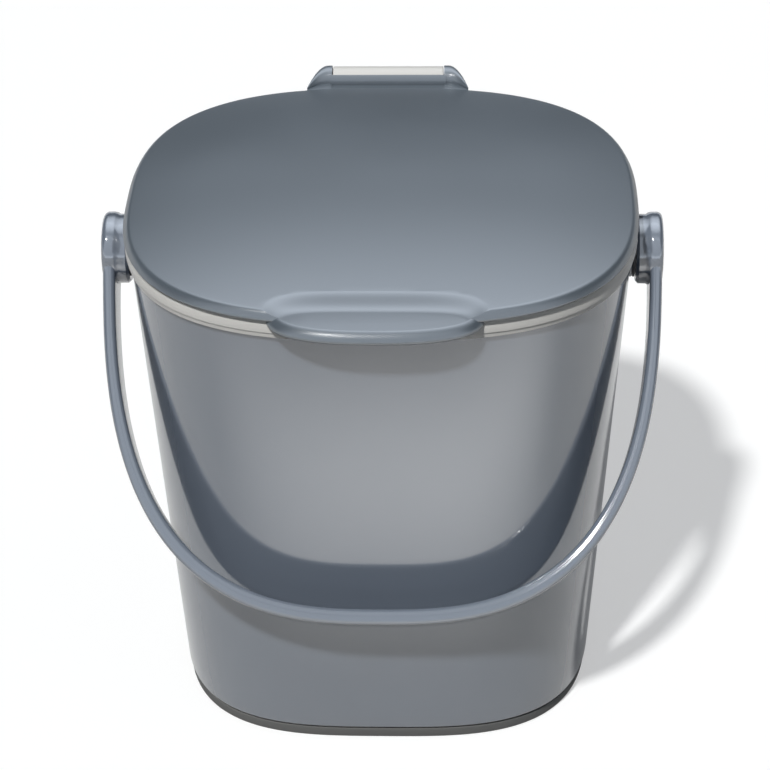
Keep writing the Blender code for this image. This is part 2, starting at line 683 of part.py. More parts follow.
def make_handle(pivot, finish, steel):
    """Hoop handle, modelled upright on its pivot axis, with a hub and a pin at each end."""
    rings = []
    small_turn = math.tau / (8 * HOOP_SECTIONS)
    for step in range(HOOP_SECTIONS + 1):
        angle = math.pi * step / HOOP_SECTIONS
        point = hoop_point(angle)
        along = hoop_point(angle + small_turn) - hoop_point(angle - small_turn)
        if step in (0, HOOP_SECTIONS):
            along = Vector((0.0, 0.0, along.z))
        outwards = Vector((along.z, 0.0, -along.x)).normalized()
        flare_share = max(1 - point.z / STRAP_FLARE_LENGTH, 0)
        width = STRAP_WIDTH + STRAP_FLARE * flare_share * flare_share
        swell = STRAP_MIDDLE_THICKNESS - STRAP_THICKNESS
        section = strap_section(STRAP_THICKNESS + swell * max(point.z / HOOP_REACH, 0) ** 2, width)
        rings.append([point + outwards * across + Vector((0.0, wide, 0.0)) for across, wide in section])
    handle = lofted("handle", rings, finish, pivot)

    hub_end = HUB_INNER_X + HUB_LENGTH
    for side, word in ((-1, "left"), (1, "right")):
        profile = [
            (HUB_INNER_X, HUB_RADIUS - PAD_ROUND / 2),
            (HUB_INNER_X + PAD_ROUND / 2, HUB_RADIUS),
            (hub_end - PAD_ROUND / 2, HUB_RADIUS),
            (hub_end, PAD_RADIUS - PAD_PROUD / 2),
            (hub_end + PAD_ROUND / 2, PAD_RADIUS),
        ]
        for angle in quarter_turn(CORNER_STEPS):
            x = PAD_OUTER_X - PAD_ROUND * (1 - math.sin(angle))
            profile.append((x, PAD_RADIUS - PAD_ROUND * (1 - math.cos(angle))))
        hub = lofted(f"hub_{word}", turned_rings([(side * x, r) for x, r in profile]), finish, pivot)
        combine(handle, hub, "UNION")
        bore_radius = PIVOT_PIN_RADIUS + GAP
        hole = [(side * (HUB_INNER_X - OVERRUN), bore_radius), (side * HUB_BORE_X, bore_radius)]
        combine(handle, lofted(f"hub_bore_{word}", turned_rings(hole), finish, pivot), "DIFFERENCE")
        pin = [
            (side * (BORE_END_X + GAP), PIVOT_PIN_RADIUS),
            (side * (HUB_BORE_X - GAP), PIVOT_PIN_RADIUS),
        ]
        lofted(f"pivot_pin_{word}", turned_rings(pin), steel, pivot)
    return handle


def main():
    clear_scene()
    front, rear = overall_reach()
    frame = make_joint_empty("bin_frame", Vector((0.0, (front - rear) / 2, 0.0)), None)
    hinge = make_joint_empty("lid_hinge_axis", Vector((0.0, HINGE_Y, HINGE_Z)), frame)
    pivot = make_joint_empty("handle_pivot_axis", Vector((0.0, PIVOT_Y, PIVOT_Z)), frame)
    pivot.rotation_euler.x = math.pi / 2 + rest_below_level()

    glossy = finish_material("charcoal_gloss_plastic", CHARCOAL, 0.16)
    satin = finish_material("charcoal_satin_plastic", CHARCOAL, 0.38)
    light = finish_material("light_grey_plastic", LIGHT_GREY, 0.35)
    rubber = finish_material("foot_rubber", FOOT_GREY, 0.7)
    silicone = finish_material("seal_silicone", SEAL_GREY, 0.6)
    steel = finish_material("pin_steel", STEEL, 0.3, 1.0)
    nylon = finish_material("bush_nylon", NYLON_BLACK, 0.5)

    make_bucket(frame, glossy)
    make_foot(frame, rubber)
    make_base_plate(frame, satin)
    make_rim_ring(frame, light)
    make_lid_shell(frame, hinge, satin)
    make_seal(frame, hinge, silicone)
    make_liner(frame, hinge, light)
    make_hinge_pin(frame, hinge, steel, satin)
    make_pivot_bushes(frame, nylon)
    make_handle(pivot, glossy, steel)


main()
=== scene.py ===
"""Kitchen compost bin: finer pieces, finishes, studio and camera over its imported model.

Blender runs this file as a script. Sizes are in metres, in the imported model's frame: +Z up, the
front with the thumb tab faces -Y, +X is the right side seen from the front, the worktop is z = 0.
"""
import json
import math

import bmesh
import bpy
from bpy.props import FloatProperty, FloatVectorProperty, PointerProperty
from mathutils import Matrix, Vector


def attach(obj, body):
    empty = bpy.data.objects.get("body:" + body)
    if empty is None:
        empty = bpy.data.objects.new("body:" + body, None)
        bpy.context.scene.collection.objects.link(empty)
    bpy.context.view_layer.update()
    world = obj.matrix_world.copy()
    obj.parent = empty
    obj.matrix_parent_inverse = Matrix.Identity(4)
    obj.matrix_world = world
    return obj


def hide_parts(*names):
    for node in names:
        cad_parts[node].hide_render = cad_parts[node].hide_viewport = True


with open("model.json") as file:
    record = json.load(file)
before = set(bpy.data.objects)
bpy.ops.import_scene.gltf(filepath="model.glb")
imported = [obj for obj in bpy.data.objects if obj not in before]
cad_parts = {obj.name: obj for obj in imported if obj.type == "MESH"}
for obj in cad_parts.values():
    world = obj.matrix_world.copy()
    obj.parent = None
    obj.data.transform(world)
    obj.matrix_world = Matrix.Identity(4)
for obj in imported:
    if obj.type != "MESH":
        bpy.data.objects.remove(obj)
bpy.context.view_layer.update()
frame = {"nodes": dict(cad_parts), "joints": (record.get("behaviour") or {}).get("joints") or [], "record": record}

bl_info = {
    "name": "Kitchen compost bin",
    "version": (1, 0, 0),
    "blender": (4, 5, 0),
    "location": "3D View > Sidebar > Compost bin",
    "description": "Builds the bin's finer pieces, finishes, studio and camera over its model",
    "category": "Object",
}

MM = 0.001
GAP = 0.3 * MM

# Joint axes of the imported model; the handle's axis crosses the middle of the bucket
JOINT_PLACES = {joint["name"]: Vector(joint["pos_m"]) for joint in frame["joints"]}
HINGE = JOINT_PLACES["lid_hinge"]
PIVOT = JOINT_PLACES["handle_pivot"]
MIDDLE_Y = PIVOT.y

# Smoothness of the curved surfaces
OVAL_POINTS = 240
TURNED_POINTS = 96
WALL_BANDS = 20
ROUND_STEPS = 8
SMOOTH_ANGLE = math.radians(32)


def linear(hex_colour):
    """Linear RGB of an sRGB hex colour."""
    shares = [int(hex_colour[place : place + 2], 16) / 255 for place in (1, 3, 5)]
    return tuple(
        share / 12.92 if share <= 0.04045 else ((share + 0.055) / 1.055) ** 2.4 for share in shares
    )


def number(name, description, default, **more):
    """Setting for a number that is never negative; more gives its unit, subtype or limit."""
    return FloatProperty(name=name, description=description, default=default, min=0, **more)


def length(name, description, millimetres):
    """Setting for a length."""
    return number(name, description, millimetres * MM, unit="LENGTH")


def colour(name, description, hex_colour):
    """Setting for a colour, written as sRGB hex."""
    default = linear(hex_colour)
    return FloatVectorProperty(
        name=name, description=description, default=default, subtype="COLOR", min=0, max=1
    )


class BinShape(bpy.types.PropertyGroup):
    """Outline and walls of the bucket, its foot and its rim ring."""

    base_half_width: length("Base half width", "Half the bucket's width on the worktop", 76.2)
    base_half_depth: length("Base half depth", "Half the bucket's depth on the worktop", 78.2)
    base_squareness: number(
        "Base squareness", "2 makes the base an ellipse, more makes it squarer", 3.2
    )
    rim_half_width: length("Rim half width", "Half the bucket's width at its rim", 88.8)
    rim_half_depth: length("Rim half depth", "Half the bucket's depth at its rim", 80.3)
    rim_squareness: number(
        "Rim squareness", "2 makes the rim and the lid an ellipse, more makes them squarer", 2.72
    )
    rim_height: length("Rim height", "Height of the bucket's top edge above the worktop", 177.6)
    wall: length("Wall", "Thickness of the bucket's wall", 2.8)
    floor_height: length("Floor height", "Height of the bowl floor above the worktop", 12.0)
    bowl_radius: length(
        "Bowl radius", "Radius that leads from the floor into the wall inside", 24.0
    )
    ring_proud: length("Ring proud", "How far the rim ring stands out from the bucket's wall", 0.5)


class LidShape(bpy.types.PropertyGroup):
    """Sizes of the lid, its dome and its thumb tab."""

    half_width: length("Lid half width", "Half the lid's width", 90.4)
    half_depth: length("Lid half depth", "Half the lid's depth without the tab", 83.0)
    edge_height: length("Edge height", "Height of the lid's edge below the dome", 3.4)
    crown_rise: length("Crown rise", "Rise of the dome above the lid's edge", 5.45)
    crown_power: number(
        "Crown power",
        "Higher values keep the dome flat for longer before it falls to its edge",
        2.6,
    )
    tab_half_width: length("Tab half width", "Half the thumb tab's width", 36.6)
    tab_reach: length("Tab reach", "How far the thumb tab stands out in front of the lid", 8.2)
    tab_thickness: length("Tab thickness", "Thickness of the thumb tab at its front", 4.4)


class HandleShape(bpy.types.PropertyGroup):
    """Sizes of the hoop handle."""

    reach: length("Reach", "Distance from the pivots to the middle of the strap", 132.0)
    squareness: number("Squareness", "2 makes the hoop an ellipse, more makes it squarer", 2.75)
    strap_width: length("Strap width", "Width of the strap away from its hubs", 18.0)
    strap_thickness: length("Strap thickness", "Thickness of the strap at its hubs", 4.4)
    middle_thickness: length("Middle thickness", "Thickness of the strap at its middle", 5.5)
    rest_angle: number(
        "Rest angle",
        "Angle below level at which the lowered handle lies against the bucket",
        math.radians(48.752),
        subtype="ANGLE",
    )


class Finishes(bpy.types.PropertyGroup):
    """Colours and gloss of the materials."""

    bucket_colour: colour("Bucket and handle", "Colour of the glossy charcoal plastic", "#69717C")
    lid_colour: colour("Lid", "Colour of the satin charcoal plastic", "#535B62")
    ring_colour: colour("Rim ring", "Colour of the light grey plastic", "#D2D0CB")
    foot_colour: colour("Foot", "Colour of the foot's rubber", "#6A6A68")
    seal_colour: colour("Seal", "Colour of the lid seal's silicone", "#707377")
    steel_colour: colour("Pins", "Colour of the steel pins", "#CBCBC8")
    nylon_colour: colour("Bushes", "Colour of the nylon bushes", "#26272A")
    bucket_roughness: number(
        "Bucket roughness", "0 is a mirror, 1 is matt", 0.2, max=1, subtype="FACTOR"
    )
    lid_roughness: number(
        "Lid roughness", "0 is a mirror, 1 is matt", 0.31, max=1, subtype="FACTOR"
    )


class Studio(bpy.types.PropertyGroup):
    """Light and camera."""

    key_strength: number(
        "Key strength",
        "Strength of the key light above and in front on the left, in watts per square metre",
        3.05,
    )
    top_power: number("Top power", "Power of the large soft box overhead", 4.5, unit="POWER")
    back_glow: number(
        "Back glow",
        "Strength of the wide, soft light high up behind the bin, as reflections show it",
        2.3,
    )
    glint_strength: number(
        "Glint strength", "Strength of the key light in reflections, in watts per square metre", 0.4
    )
    room_light: number(
        "Room light", "Strength of the dim, even light from the room above the pale horizon", 0.03
    )
    paper_colour: colour("Paper", "Colour of the floor as it is seen", "#C6C6C5")
    paper_bounce: colour(
        "Paper bounce", "Colour of the light that the floor throws back at the object", "#707070"
    )
    camera_place: FloatVectorProperty(
        name="Camera place",
        description="Where the photograph's camera stands",
        default=(31.25 * MM, -837.245 * MM, 652.77 * MM),
        subtype="TRANSLATION",
    )
    focal_length: number(
        "Focal length",
        "The camera's focal length in millimetres on a 36 mm sensor",
        126.7,
        unit="CAMERA",
    )


class CompostBin(bpy.types.PropertyGroup):
    """All settings of the bin."""

    shape: PointerProperty(type=BinShape, name="Bin", description="Bucket, foot and rim ring")
    lid: PointerProperty(type=LidShape, name="Lid", description="Lid and thumb tab")
    handle: PointerProperty(type=HandleShape, name="Handle", description="Hoop handle")
    finishes: PointerProperty(type=Finishes, name="Finishes", description="Colours and gloss")
    studio: PointerProperty(type=Studio, name="Studio", description="Light and camera")


# Small features of the bucket, foot and rim ring
SKIRT_WALL = 2.2 * MM
SKIRT_Z = 4.2 * MM
SKIRT_EDGE_RADIUS = 1.5 * MM
SPIGOT_DEPTH = 4.2 * MM
SPIGOT_INSET = 1.2 * MM
FOOT_INSET = 0.5 * MM
FOOT_ROUND = 0.5 * MM
FOOT_TONGUE_WIDTH = 2.0 * MM
FOOT_TONGUE_Z = 7.5 * MM
FOOT_LEDGE_Z = 1.6 * MM
FOOT_LEDGE_INSET = 10.0 * MM
RING_TOP = 2.0 * MM
RING_EDGE = 0.6 * MM
RING_LEAN = 0.5 * MM
RING_FLUSH = 1.0 * MM
RING_STEP = 0.35 * MM
RING_STEP_HEIGHT = 1.6 * MM
RING_INNER_LEG = 1.5 * MM
RING_INNER_DROP = 5.4 * MM

# Small features of the lid, its seal and its liner
LID_SEAT_GAP = 0.6 * MM
LID_THICKNESS = 2.0 * MM
LID_EDGE_WALL = 2.8 * MM
LID_EDGE_ROUND = 0.9 * MM
CROWN_END_SHARE = 0.97
CROWN_BANDS = 24
CROWN_BAND_POWER = 0.8
INNER_CROWN_SHARES = (0.86, 0.72, 0.5, 0.25)
SEAL_WIDTH = 3.0 * MM
SEAL_HEIGHT = 1.4 * MM
SEAL_ROUND = 0.5 * MM
LINER_FLANGE = 1.0 * MM
LINER_FLANGE_STEP = 1.8 * MM
LINER_WALL = 2.0 * MM
LINER_DROP = 6.1 * MM
LINER_CORNER = 2.0 * MM
TAB_ROOT_DEPTH = 17.0 * MM
TAB_SQUARENESS = 2.55
TAB_DROP = 2.6 * MM
TAB_TOP_ROUND = 3.1 * MM
TAB_ROUND_POWER = 1.35
TAB_UNDER_ROUND = 1.0 * MM
TAB_BITE = 1.5 * MM
TAB_CUT_HEIGHT = 9.0 * MM
TAB_RISE_SHARE = 0.005
SHELF_DEPTH = 14.2 * MM
SHELF_SIDE_REACH = 2.4 * MM
SHELF_SQUARENESS = 4.6
SHELF_RAMP = 8.4 * MM
SHELF_SIDE_RAMP = 7.5 * MM
SHELF_STEPS = 14
SHELF_SKIM = 0.05 * MM

# Shares of the way to the next point, for the curve from the dome's end to the lid's edge
LID_EDGE_START = 0.5
LID_EDGE_LEAN = 0.3
LID_EDGE_RISE = 0.6

# Small features of the rear hinge
BARREL_RADIUS = 4.5 * MM
BARREL_HALF_LENGTH = 21.0 * MM
BARREL_ROUND = 0.4 * MM
BRACKET_DROP = 4.4 * MM
BRACKET_SLOPE = math.radians(30)
BRACKET_SIDE_SHARE = 0.7
BRACKET_MIDDLE_SHARE = 0.9
EAR_RADIUS = 4.8 * MM
EAR_WIDTH = 1.6 * MM
EAR_FLARE = 7.6 * MM
EAR_SLOPE_POWER = 1.95
EAR_END_SHARE = 0.12
EAR_STEPS = 16
EAR_UNDER_ANGLE = math.radians(-125)
EAR_FRONT_ANGLE = math.radians(178)
SADDLE_LIP = 0.7 * MM
SADDLE_UNDER_ANGLE = math.radians(207)
SADDLE_TOP_ANGLE = math.radians(140)
SADDLE_FOOT_ANGLE = math.radians(182)
HINGE_PIN_RADIUS = 1.5 * MM

# Small features of the handle and its bosses
BOSS_RADIUS = 10.0 * MM
BOSS_PROUD = 1.2 * MM
BOSS_SKIN = 1.2 * MM
BOSS_EDGE_RADIUS = 0.5 * MM
BUSH_FLANGE = 0.6 * MM
BUSH_WALL = 1.5 * MM
PIVOT_PIN_RADIUS = 3.0 * MM
HUB_LENGTH = 4.7 * MM
HUB_RADIUS = 12.4 * MM
HUB_SKIN = 2.6 * MM
PAD_RADIUS = 13.2 * MM
PAD_PROUD = 0.4 * MM
PAD_ROUND = 2.0 * MM
STRAP_FLARE = 5.0 * MM
STRAP_FLARE_LENGTH = 26.0 * MM
STRAP_EDGE_RADIUS = 1.8 * MM
HOOP_SECTIONS = 200
HOOP_SMALL_TURN = math.tau / (8 * HOOP_SECTIONS)
SEAM_HALF_WIDTH = 0.3 * MM
SEAM_PROUD = 0.1 * MM

# Noise of every finish: the slow drift of tint and gloss, and the fine relief
DRIFT_SIZE = 45.0 * MM
DRIFT_LOW = 0.3
DRIFT_HIGH = 0.7
DRIFT_DETAIL = 3.0
GRAIN_DETAIL = 2.0
GRAIN_ROUGHNESS = 0.45

# Sockets of the Mix node by their places, because several share a name
NUMBER_A, NUMBER_B = 2, 3
COLOUR_A, COLOUR_B = 6, 7
COLOUR_OUT = 2
WHITE = (1.0, 1.0, 1.0, 1.0)

# Lamps: the key light's direction and width, and the soft box overhead
KEY_DIRECTION = (-0.232, -0.488, 0.841)
KEY_ANGLE = math.radians(4)
TOP_PLACE = (0.2, -0.05, 1.5)
TOP_SIZE = (1.5, 1.9)
LIGHT_TINT = "#DFE8F4"

# Room: the glows behind and in front that only reflections show, and the white horizon
GLOW_DIRECTION = (0.04, 0.43, 0.9)
GLOW_REACH = math.radians(39.5)
FRONT_GLOW = 0.95
FRONT_START = -0.25
FRONT_END = -0.6
HORIZON_END = math.radians(2)
ROOM_START = math.radians(10)

# Paper floor: its even glow for the camera, and what reflections show instead, which is a painted pool of light in
# front of the bin and a dim painted glow elsewhere
PAPER_HALF_SIZE = 12.0
PAPER_DROP = 0.05 * MM
PAPER_GLOW = 0.47
PAINTED_POOL_PLACE = (0.02, -0.24, 0.0)
PAINTED_POOL_SCALE = (0.37, 1.0, 1.0)
PAINTED_POOL_REACH = 0.14
PAINTED_POOL_GLOW = 1.0
PAINTED_FLOOR_GLOW = 0.12

# Camera
SENSOR_WIDTH = 36.0
CAMERA_AZIMUTH = math.radians(2.14)
CAMERA_ELEVATION = math.radians(33.28)
CAMERA_ROLL = math.radians(-1.04)


def wall_size(shape, z):
    """Half width, half depth and squareness of the bucket's outside at height z."""
    share = z / shape.rim_height
    half_width = shape.base_half_width + (shape.rim_half_width - shape.base_half_width) * share
    half_depth = shape.base_half_depth + (shape.rim_half_depth - shape.base_half_depth) * share
    change = (shape.rim_squareness - shape.base_squareness) * min(share, 1)
    return half_width, half_depth, shape.base_squareness + change


def turn(steps, start=0.0, end=math.pi / 2):
    """Angles from start to end, both included."""
    return [start + (end - start) * step / steps for step in range(steps + 1)]


def oval_point(half_width, half_height, squareness, angle):
    """Point of a superellipse about (0, 0), as a pair."""
    cosine, sine = math.cos(angle), math.sin(angle)
    reach = (abs(cosine) ** squareness + abs(sine) ** squareness) ** (-1 / squareness)
    return half_width * reach * cosine, half_height * reach * sine


def oval(half_width, half_depth, squareness, z, centre_y=MIDDLE_Y):
    """Level ring along a superellipse, anticlockwise seen from above."""
    angles = turn(OVAL_POINTS, 0.0, math.tau)[:-1]
    points = [oval_point(half_width, half_depth, squareness, angle) for angle in angles]
    return [Vector((x, centre_y + y, z)) for x, y in points]


def wall_ring(shape, z, inset=0.0):
    """Ring that follows the bucket's outside, moved inwards by inset."""
    half_width, half_depth, squareness = wall_size(shape, z)
    return oval(half_width - inset, half_depth - inset, squareness, z)


def arc(x, y, radius, angles):
    """Points of an arc about (x, y)."""
    return [(x + radius * math.cos(angle), y + radius * math.sin(angle)) for angle in angles]


def rounded(corner, before, after, radius):
    """Points of an arc that rounds a square corner of a profile between its two neighbours."""
    corner, before, after = Vector(corner), Vector(before), Vector(after)
    to_before = (before - corner).normalized() * radius
    to_after = (after - corner).normalized() * radius
    centre = corner + to_before + to_after
    return [
        centre - to_after * math.cos(angle) - to_before * math.sin(angle)
        for angle in turn(ROUND_STEPS // 2)
    ]


def ring_top_z(shape):
    """Height of the rim ring's top face."""
    return shape.rim_height + GAP + RING_TOP


def lid_bottom_z(shape):
    """Height of the lid's lower edge."""
    return ring_top_z(shape) + LID_SEAT_GAP


def solid(rings, endless=False):
    """Closed mesh through a list of rings, endless or with a flat cap at each end."""
    builder = bmesh.new()
    loops = [[builder.verts.new(point) for point in ring] for ring in rings]
    neighbours = list(zip(loops, loops[1:] + loops[:1] if endless else loops[1:]))
    for first, second in neighbours:
        for step in range(len(first)):
            after = (step + 1) % len(first)
            builder.faces.new((first[step], first[after], second[after], second[step]))
    if not endless:
        builder.faces.new(loops[0])
        builder.faces.new(loops[-1])
    bmesh.ops.recalc_face_normals(builder, faces=builder.faces)
    mesh = bpy.data.meshes.new("solid")
    builder.to_mesh(mesh)
    builder.free()
    return mesh


def turned(profile, y=0.0, z=0.0, endless=False):
    """Solid turned about an axis along X, from pairs of place along X and radius."""
    angles = turn(TURNED_POINTS, 0.0, math.tau)[:-1]
    rings = [[Vector((x, *point)) for point in arc(y, z, radius, angles)] for x, radius in profile]
    return solid(rings, endless)


def extruded(outline, half_length):
    """Straight prism along X from an outline of (y, z) points."""
    return solid([[Vector((side * half_length, y, z)) for y, z in outline] for side in (-1, 1)])


def combined(base, tools):
    """Mesh of a solid after its tools, pairs of operation and mesh, are joined on or cut out."""
    body = bpy.data.objects.new("body", base)
    helpers = [body]
    for operation, mesh in tools:
        helper = bpy.data.objects.new("tool", mesh)
        helpers.append(helper)
        modifier = body.modifiers.new("tool", "BOOLEAN")
        modifier.object = helper
        modifier.operation = operation
        modifier.solver = "EXACT"
    for helper in helpers:
        bpy.context.scene.collection.objects.link(helper)
    evaluated = body.evaluated_get(bpy.context.evaluated_depsgraph_get())
    mesh = bpy.data.meshes.new_from_object(evaluated)
    for helper in helpers:
        bpy.data.objects.remove(helper, do_unlink=True)
    return mesh


def joined(meshes):
    """One mesh of several closed meshes that stand in each other."""
    builder = bmesh.new()
    for mesh in meshes:
        builder.from_mesh(mesh)
    mesh = bpy.data.meshes.new("joined")
    builder.to_mesh(mesh)
    builder.free()
    return mesh


def finished_piece(name, mesh, finish):
    """Add the piece that stands for the CAD node of its name, with its material and its ride."""
    mesh.name = f"{name}_fine"
    mesh.materials.clear()
    mesh.materials.append(finish)
    mesh.shade_smooth()
    mesh.set_sharp_from_angle(angle=SMOOTH_ANGLE)
    piece = bpy.data.objects.new(f"{name}_fine", mesh)
    bpy.context.scene.collection.objects.link(piece)
    bodies = frame["record"]["behaviour"]["bodies"]
    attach(piece, next(body for body, nodes in bodies.items() if name in nodes))
    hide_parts(name)


def add_node(tree, kind, inputs, **settings):
    """Add a node with its settings; each input is a value or the socket that feeds it."""
    node = tree.nodes.new(kind)
    for name, value in settings.items():
        setattr(node, name, value)
    for socket, value in inputs.items():
        if isinstance(value, bpy.types.NodeSocket):
            tree.links.new(value, node.inputs[socket])
        else:
            node.inputs[socket].default_value = value
    return node


def drifting_finish(name, base, roughness, spread, tint_share, grain_size, grain_depth, **shader):
    """Principled material whose tint and gloss drift slowly, with a fine relief.

    A grain below 1 mm stands for a finer real one, drawn coarser so that it shows at all.
    """
    finish = bpy.data.materials.get(name)
    if finish:
        return finish
    finish = bpy.data.materials.new(name)
    finish.use_nodes = True
    tree = finish.node_tree
    tree.nodes.clear()
    place = add_node(tree, "ShaderNodeTexCoord", {}).outputs["Object"]
    pattern = {"Vector": place, "Scale": 1 / DRIFT_SIZE, "Detail": DRIFT_DETAIL}
    drift = add_node(tree, "ShaderNodeTexNoise", pattern).outputs["Fac"]
    dark = (*(value * (1 - tint_share) for value in base), 1.0)
    light = (*(min(value * (1 + tint_share), 1) for value in base), 1.0)
    tints = {0: drift, COLOUR_A: dark, COLOUR_B: light}
    tint = add_node(tree, "ShaderNodeMix", tints, data_type="RGBA")
    span = {"Value": drift, "From Min": DRIFT_LOW, "From Max": DRIFT_HIGH}
    span.update({"To Min": roughness - spread, "To Max": roughness + spread})
    gloss = add_node(tree, "ShaderNodeMapRange", span)
    pattern = {"Vector": place, "Scale": 1 / grain_size, "Detail": GRAIN_DETAIL}
    pattern["Roughness"] = GRAIN_ROUGHNESS
    grain = add_node(tree, "ShaderNodeTexNoise", pattern).outputs["Fac"]
    heights = {"Height": grain, "Distance": grain_depth, "Strength": 1.0}
    relief = add_node(tree, "ShaderNodeBump", heights)
    inputs = {
        "Base Color": tint.outputs[COLOUR_OUT],
        "Roughness": gloss.outputs["Result"],
        "Normal": relief.outputs["Normal"],
        **{socket.replace("_", " "): value for socket, value in shader.items()},
    }
    surface = add_node(tree, "ShaderNodeBsdfPrincipled", inputs)
    add_node(tree, "ShaderNodeOutputMaterial", {"Surface": surface.outputs["BSDF"]})
    return finish


def glossy_abs(finishes):
    """ABS, moulded in a polished tool: a deep, even gloss that mirrors the worktop and the strap.

    Its coat's IOR lies above that of ABS, because the wall mirrors the light floor this clearly.
    """
    return drifting_finish(
        "abs_polished_charcoal",
        finishes.bucket_colour,
        roughness=finishes.bucket_roughness, spread=0.02, tint_share=0.02,
        grain_size=7 * MM, grain_depth=0.002 * MM,
        IOR=1.55,
        Coat_Weight=1.0,
        Coat_Roughness=0.08,
        Coat_IOR=2.15,
    )


def satin_abs(finishes):
    """ABS, moulded in a finely eroded tool: a soft sheen that spreads every light, with fine grain.

    The grain is drawn at 0.4 mm, coarser than the real one. The IOR lies above that of ABS,
    because the lid's sheen is this strong.
    """
    return drifting_finish(
        "abs_satin_charcoal",
        finishes.lid_colour,
        roughness=finishes.lid_roughness, spread=0.02, tint_share=0.03,
        grain_size=0.4 * MM, grain_depth=0.012 * MM,
        IOR=1.85,
        Specular_IOR_Level=1.0,
    )


def light_polypropylene(finishes):
    """Polypropylene, moulded: a smooth, waxy light grey with a broad, weak shine."""
    return drifting_finish(
        "polypropylene_light_grey",
        finishes.ring_colour,
        roughness=0.34, spread=0.03, tint_share=0.015,
        grain_size=1.2 * MM, grain_depth=0.006 * MM,
        IOR=1.49,
    )


def foot_rubber(finishes):
    """Thermoplastic rubber, moulded: a dull dark grey with a dry grain and no clear reflections."""
    return drifting_finish(
        "thermoplastic_rubber_dark_grey",
        finishes.foot_colour,
        roughness=0.72, spread=0.05, tint_share=0.06,
        grain_size=0.5 * MM, grain_depth=0.02 * MM,
        IOR=1.5,
    )


def seal_silicone(finishes):
    """Silicone, moulded: soft grey with a faint bloom that pales at grazing angles."""
    return drifting_finish(
        "silicone_grey",
        finishes.seal_colour,
        roughness=0.5, spread=0.05, tint_share=0.04,
        grain_size=0.8 * MM, grain_depth=0.008 * MM,
        IOR=1.41,
        Sheen_Weight=0.2,
    )


def drawn_steel(finishes):
    """Stainless steel rod, drawn: bright metal with a fine grain that blurs its reflections."""
    return drifting_finish(
        "stainless_steel_drawn",
        finishes.steel_colour,
        roughness=0.28, spread=0.06, tint_share=0.04,
        grain_size=0.3 * MM, grain_depth=0.004 * MM,
        Metallic=1.0,
    )


def black_nylon(finishes):
    """Nylon, moulded: near black with a dry, slightly greasy shine."""
    return drifting_finish(
        "nylon_black",
        finishes.nylon_colour,
        roughness=0.46, spread=0.04, tint_share=0.05,
        grain_size=0.6 * MM, grain_depth=0.01 * MM,
        IOR=1.53,
    )


def bucket_mesh(shape):
    """Bucket: tapering wall, bowl floor, skirt below it and spigot for the rim ring."""
    top_z = shape.floor_height + shape.bowl_radius
    outer_radius = shape.bowl_radius + shape.wall
    start = math.acos((outer_radius - SKIRT_WALL) / outer_radius)

    def bowl(radius, inset, angles):
        places = [(top_z - radius * math.sin(angle), 1 - math.cos(angle)) for angle in angles]
        return [wall_ring(shape, z, inset + radius * share) for z, share in places]

    rings = bowl(outer_radius, 0.0, turn(2 * ROUND_STEPS, start)[::-1])
    rings.append(wall_ring(shape, SKIRT_Z, SKIRT_WALL))
    for angle in turn(ROUND_STEPS):
        lift = SKIRT_EDGE_RADIUS * (1 - math.cos(angle))
        rings.append(wall_ring(shape, SKIRT_Z + lift, SKIRT_EDGE_RADIUS * (1 - math.sin(angle))))
    wall_start = SKIRT_Z + SKIRT_EDGE_RADIUS
    spigot_z = shape.rim_height - SPIGOT_DEPTH
    for step in range(1, WALL_BANDS + 1):
        rings.append(wall_ring(shape, wall_start + (spigot_z - wall_start) * step / WALL_BANDS))
    rings += [
        wall_ring(shape, spigot_z, SPIGOT_INSET),
        wall_ring(shape, shape.rim_height, SPIGOT_INSET),
        wall_ring(shape, shape.rim_height, shape.wall),
    ]
    for step in range(1, WALL_BANDS):
        z = shape.rim_height + (top_z - shape.rim_height) * step / WALL_BANDS
        rings.append(wall_ring(shape, z, shape.wall))
    rings += bowl(shape.bowl_radius, shape.wall, turn(2 * ROUND_STEPS))
    return solid(rings)


def boss_mesh(shape, side):
    """Round boss on the bucket's side with the bore for the pivot bush."""
    wall_x = wall_size(shape, PIVOT.z)[0]
    bore_end = wall_x - shape.wall + BOSS_SKIN
    face = wall_x + BOSS_PROUD
    bore = PIVOT_PIN_RADIUS + GAP + BUSH_WALL + GAP
    profile = [
        (bore_end - GAP, BOSS_RADIUS),
        *rounded((face, BOSS_RADIUS), (bore_end, BOSS_RADIUS), (face, bore), BOSS_EDGE_RADIUS),
        (face, bore),
        (bore_end, bore),
        (bore_end - GAP, bore),
    ]
    return turned([(side * x, radius) for x, radius in profile], PIVOT.y, PIVOT.z, endless=True)


def foot_mesh(shape):
    """Non-slip foot: band below the skirt, tongue inside it and ledge for the base plate."""
    tongue_outer = SKIRT_WALL + GAP
    tongue_inner = tongue_outer + FOOT_TONGUE_WIDTH
    high = SKIRT_Z - GAP
    profile = [
        *rounded((FOOT_INSET, 0.0), (FOOT_LEDGE_INSET, 0.0), (FOOT_INSET, high), FOOT_ROUND),
        *rounded((FOOT_INSET, high), (FOOT_INSET, 0.0), (tongue_outer, high), FOOT_ROUND / 2),
        (tongue_outer, high),
        (tongue_outer, FOOT_TONGUE_Z),
        (tongue_inner, FOOT_TONGUE_Z),
        (tongue_inner, FOOT_LEDGE_Z),
        (FOOT_LEDGE_INSET, FOOT_LEDGE_Z),
        (FOOT_LEDGE_INSET, 0.0),
    ]
    return solid([wall_ring(shape, z, inset) for inset, z in profile], endless=True)


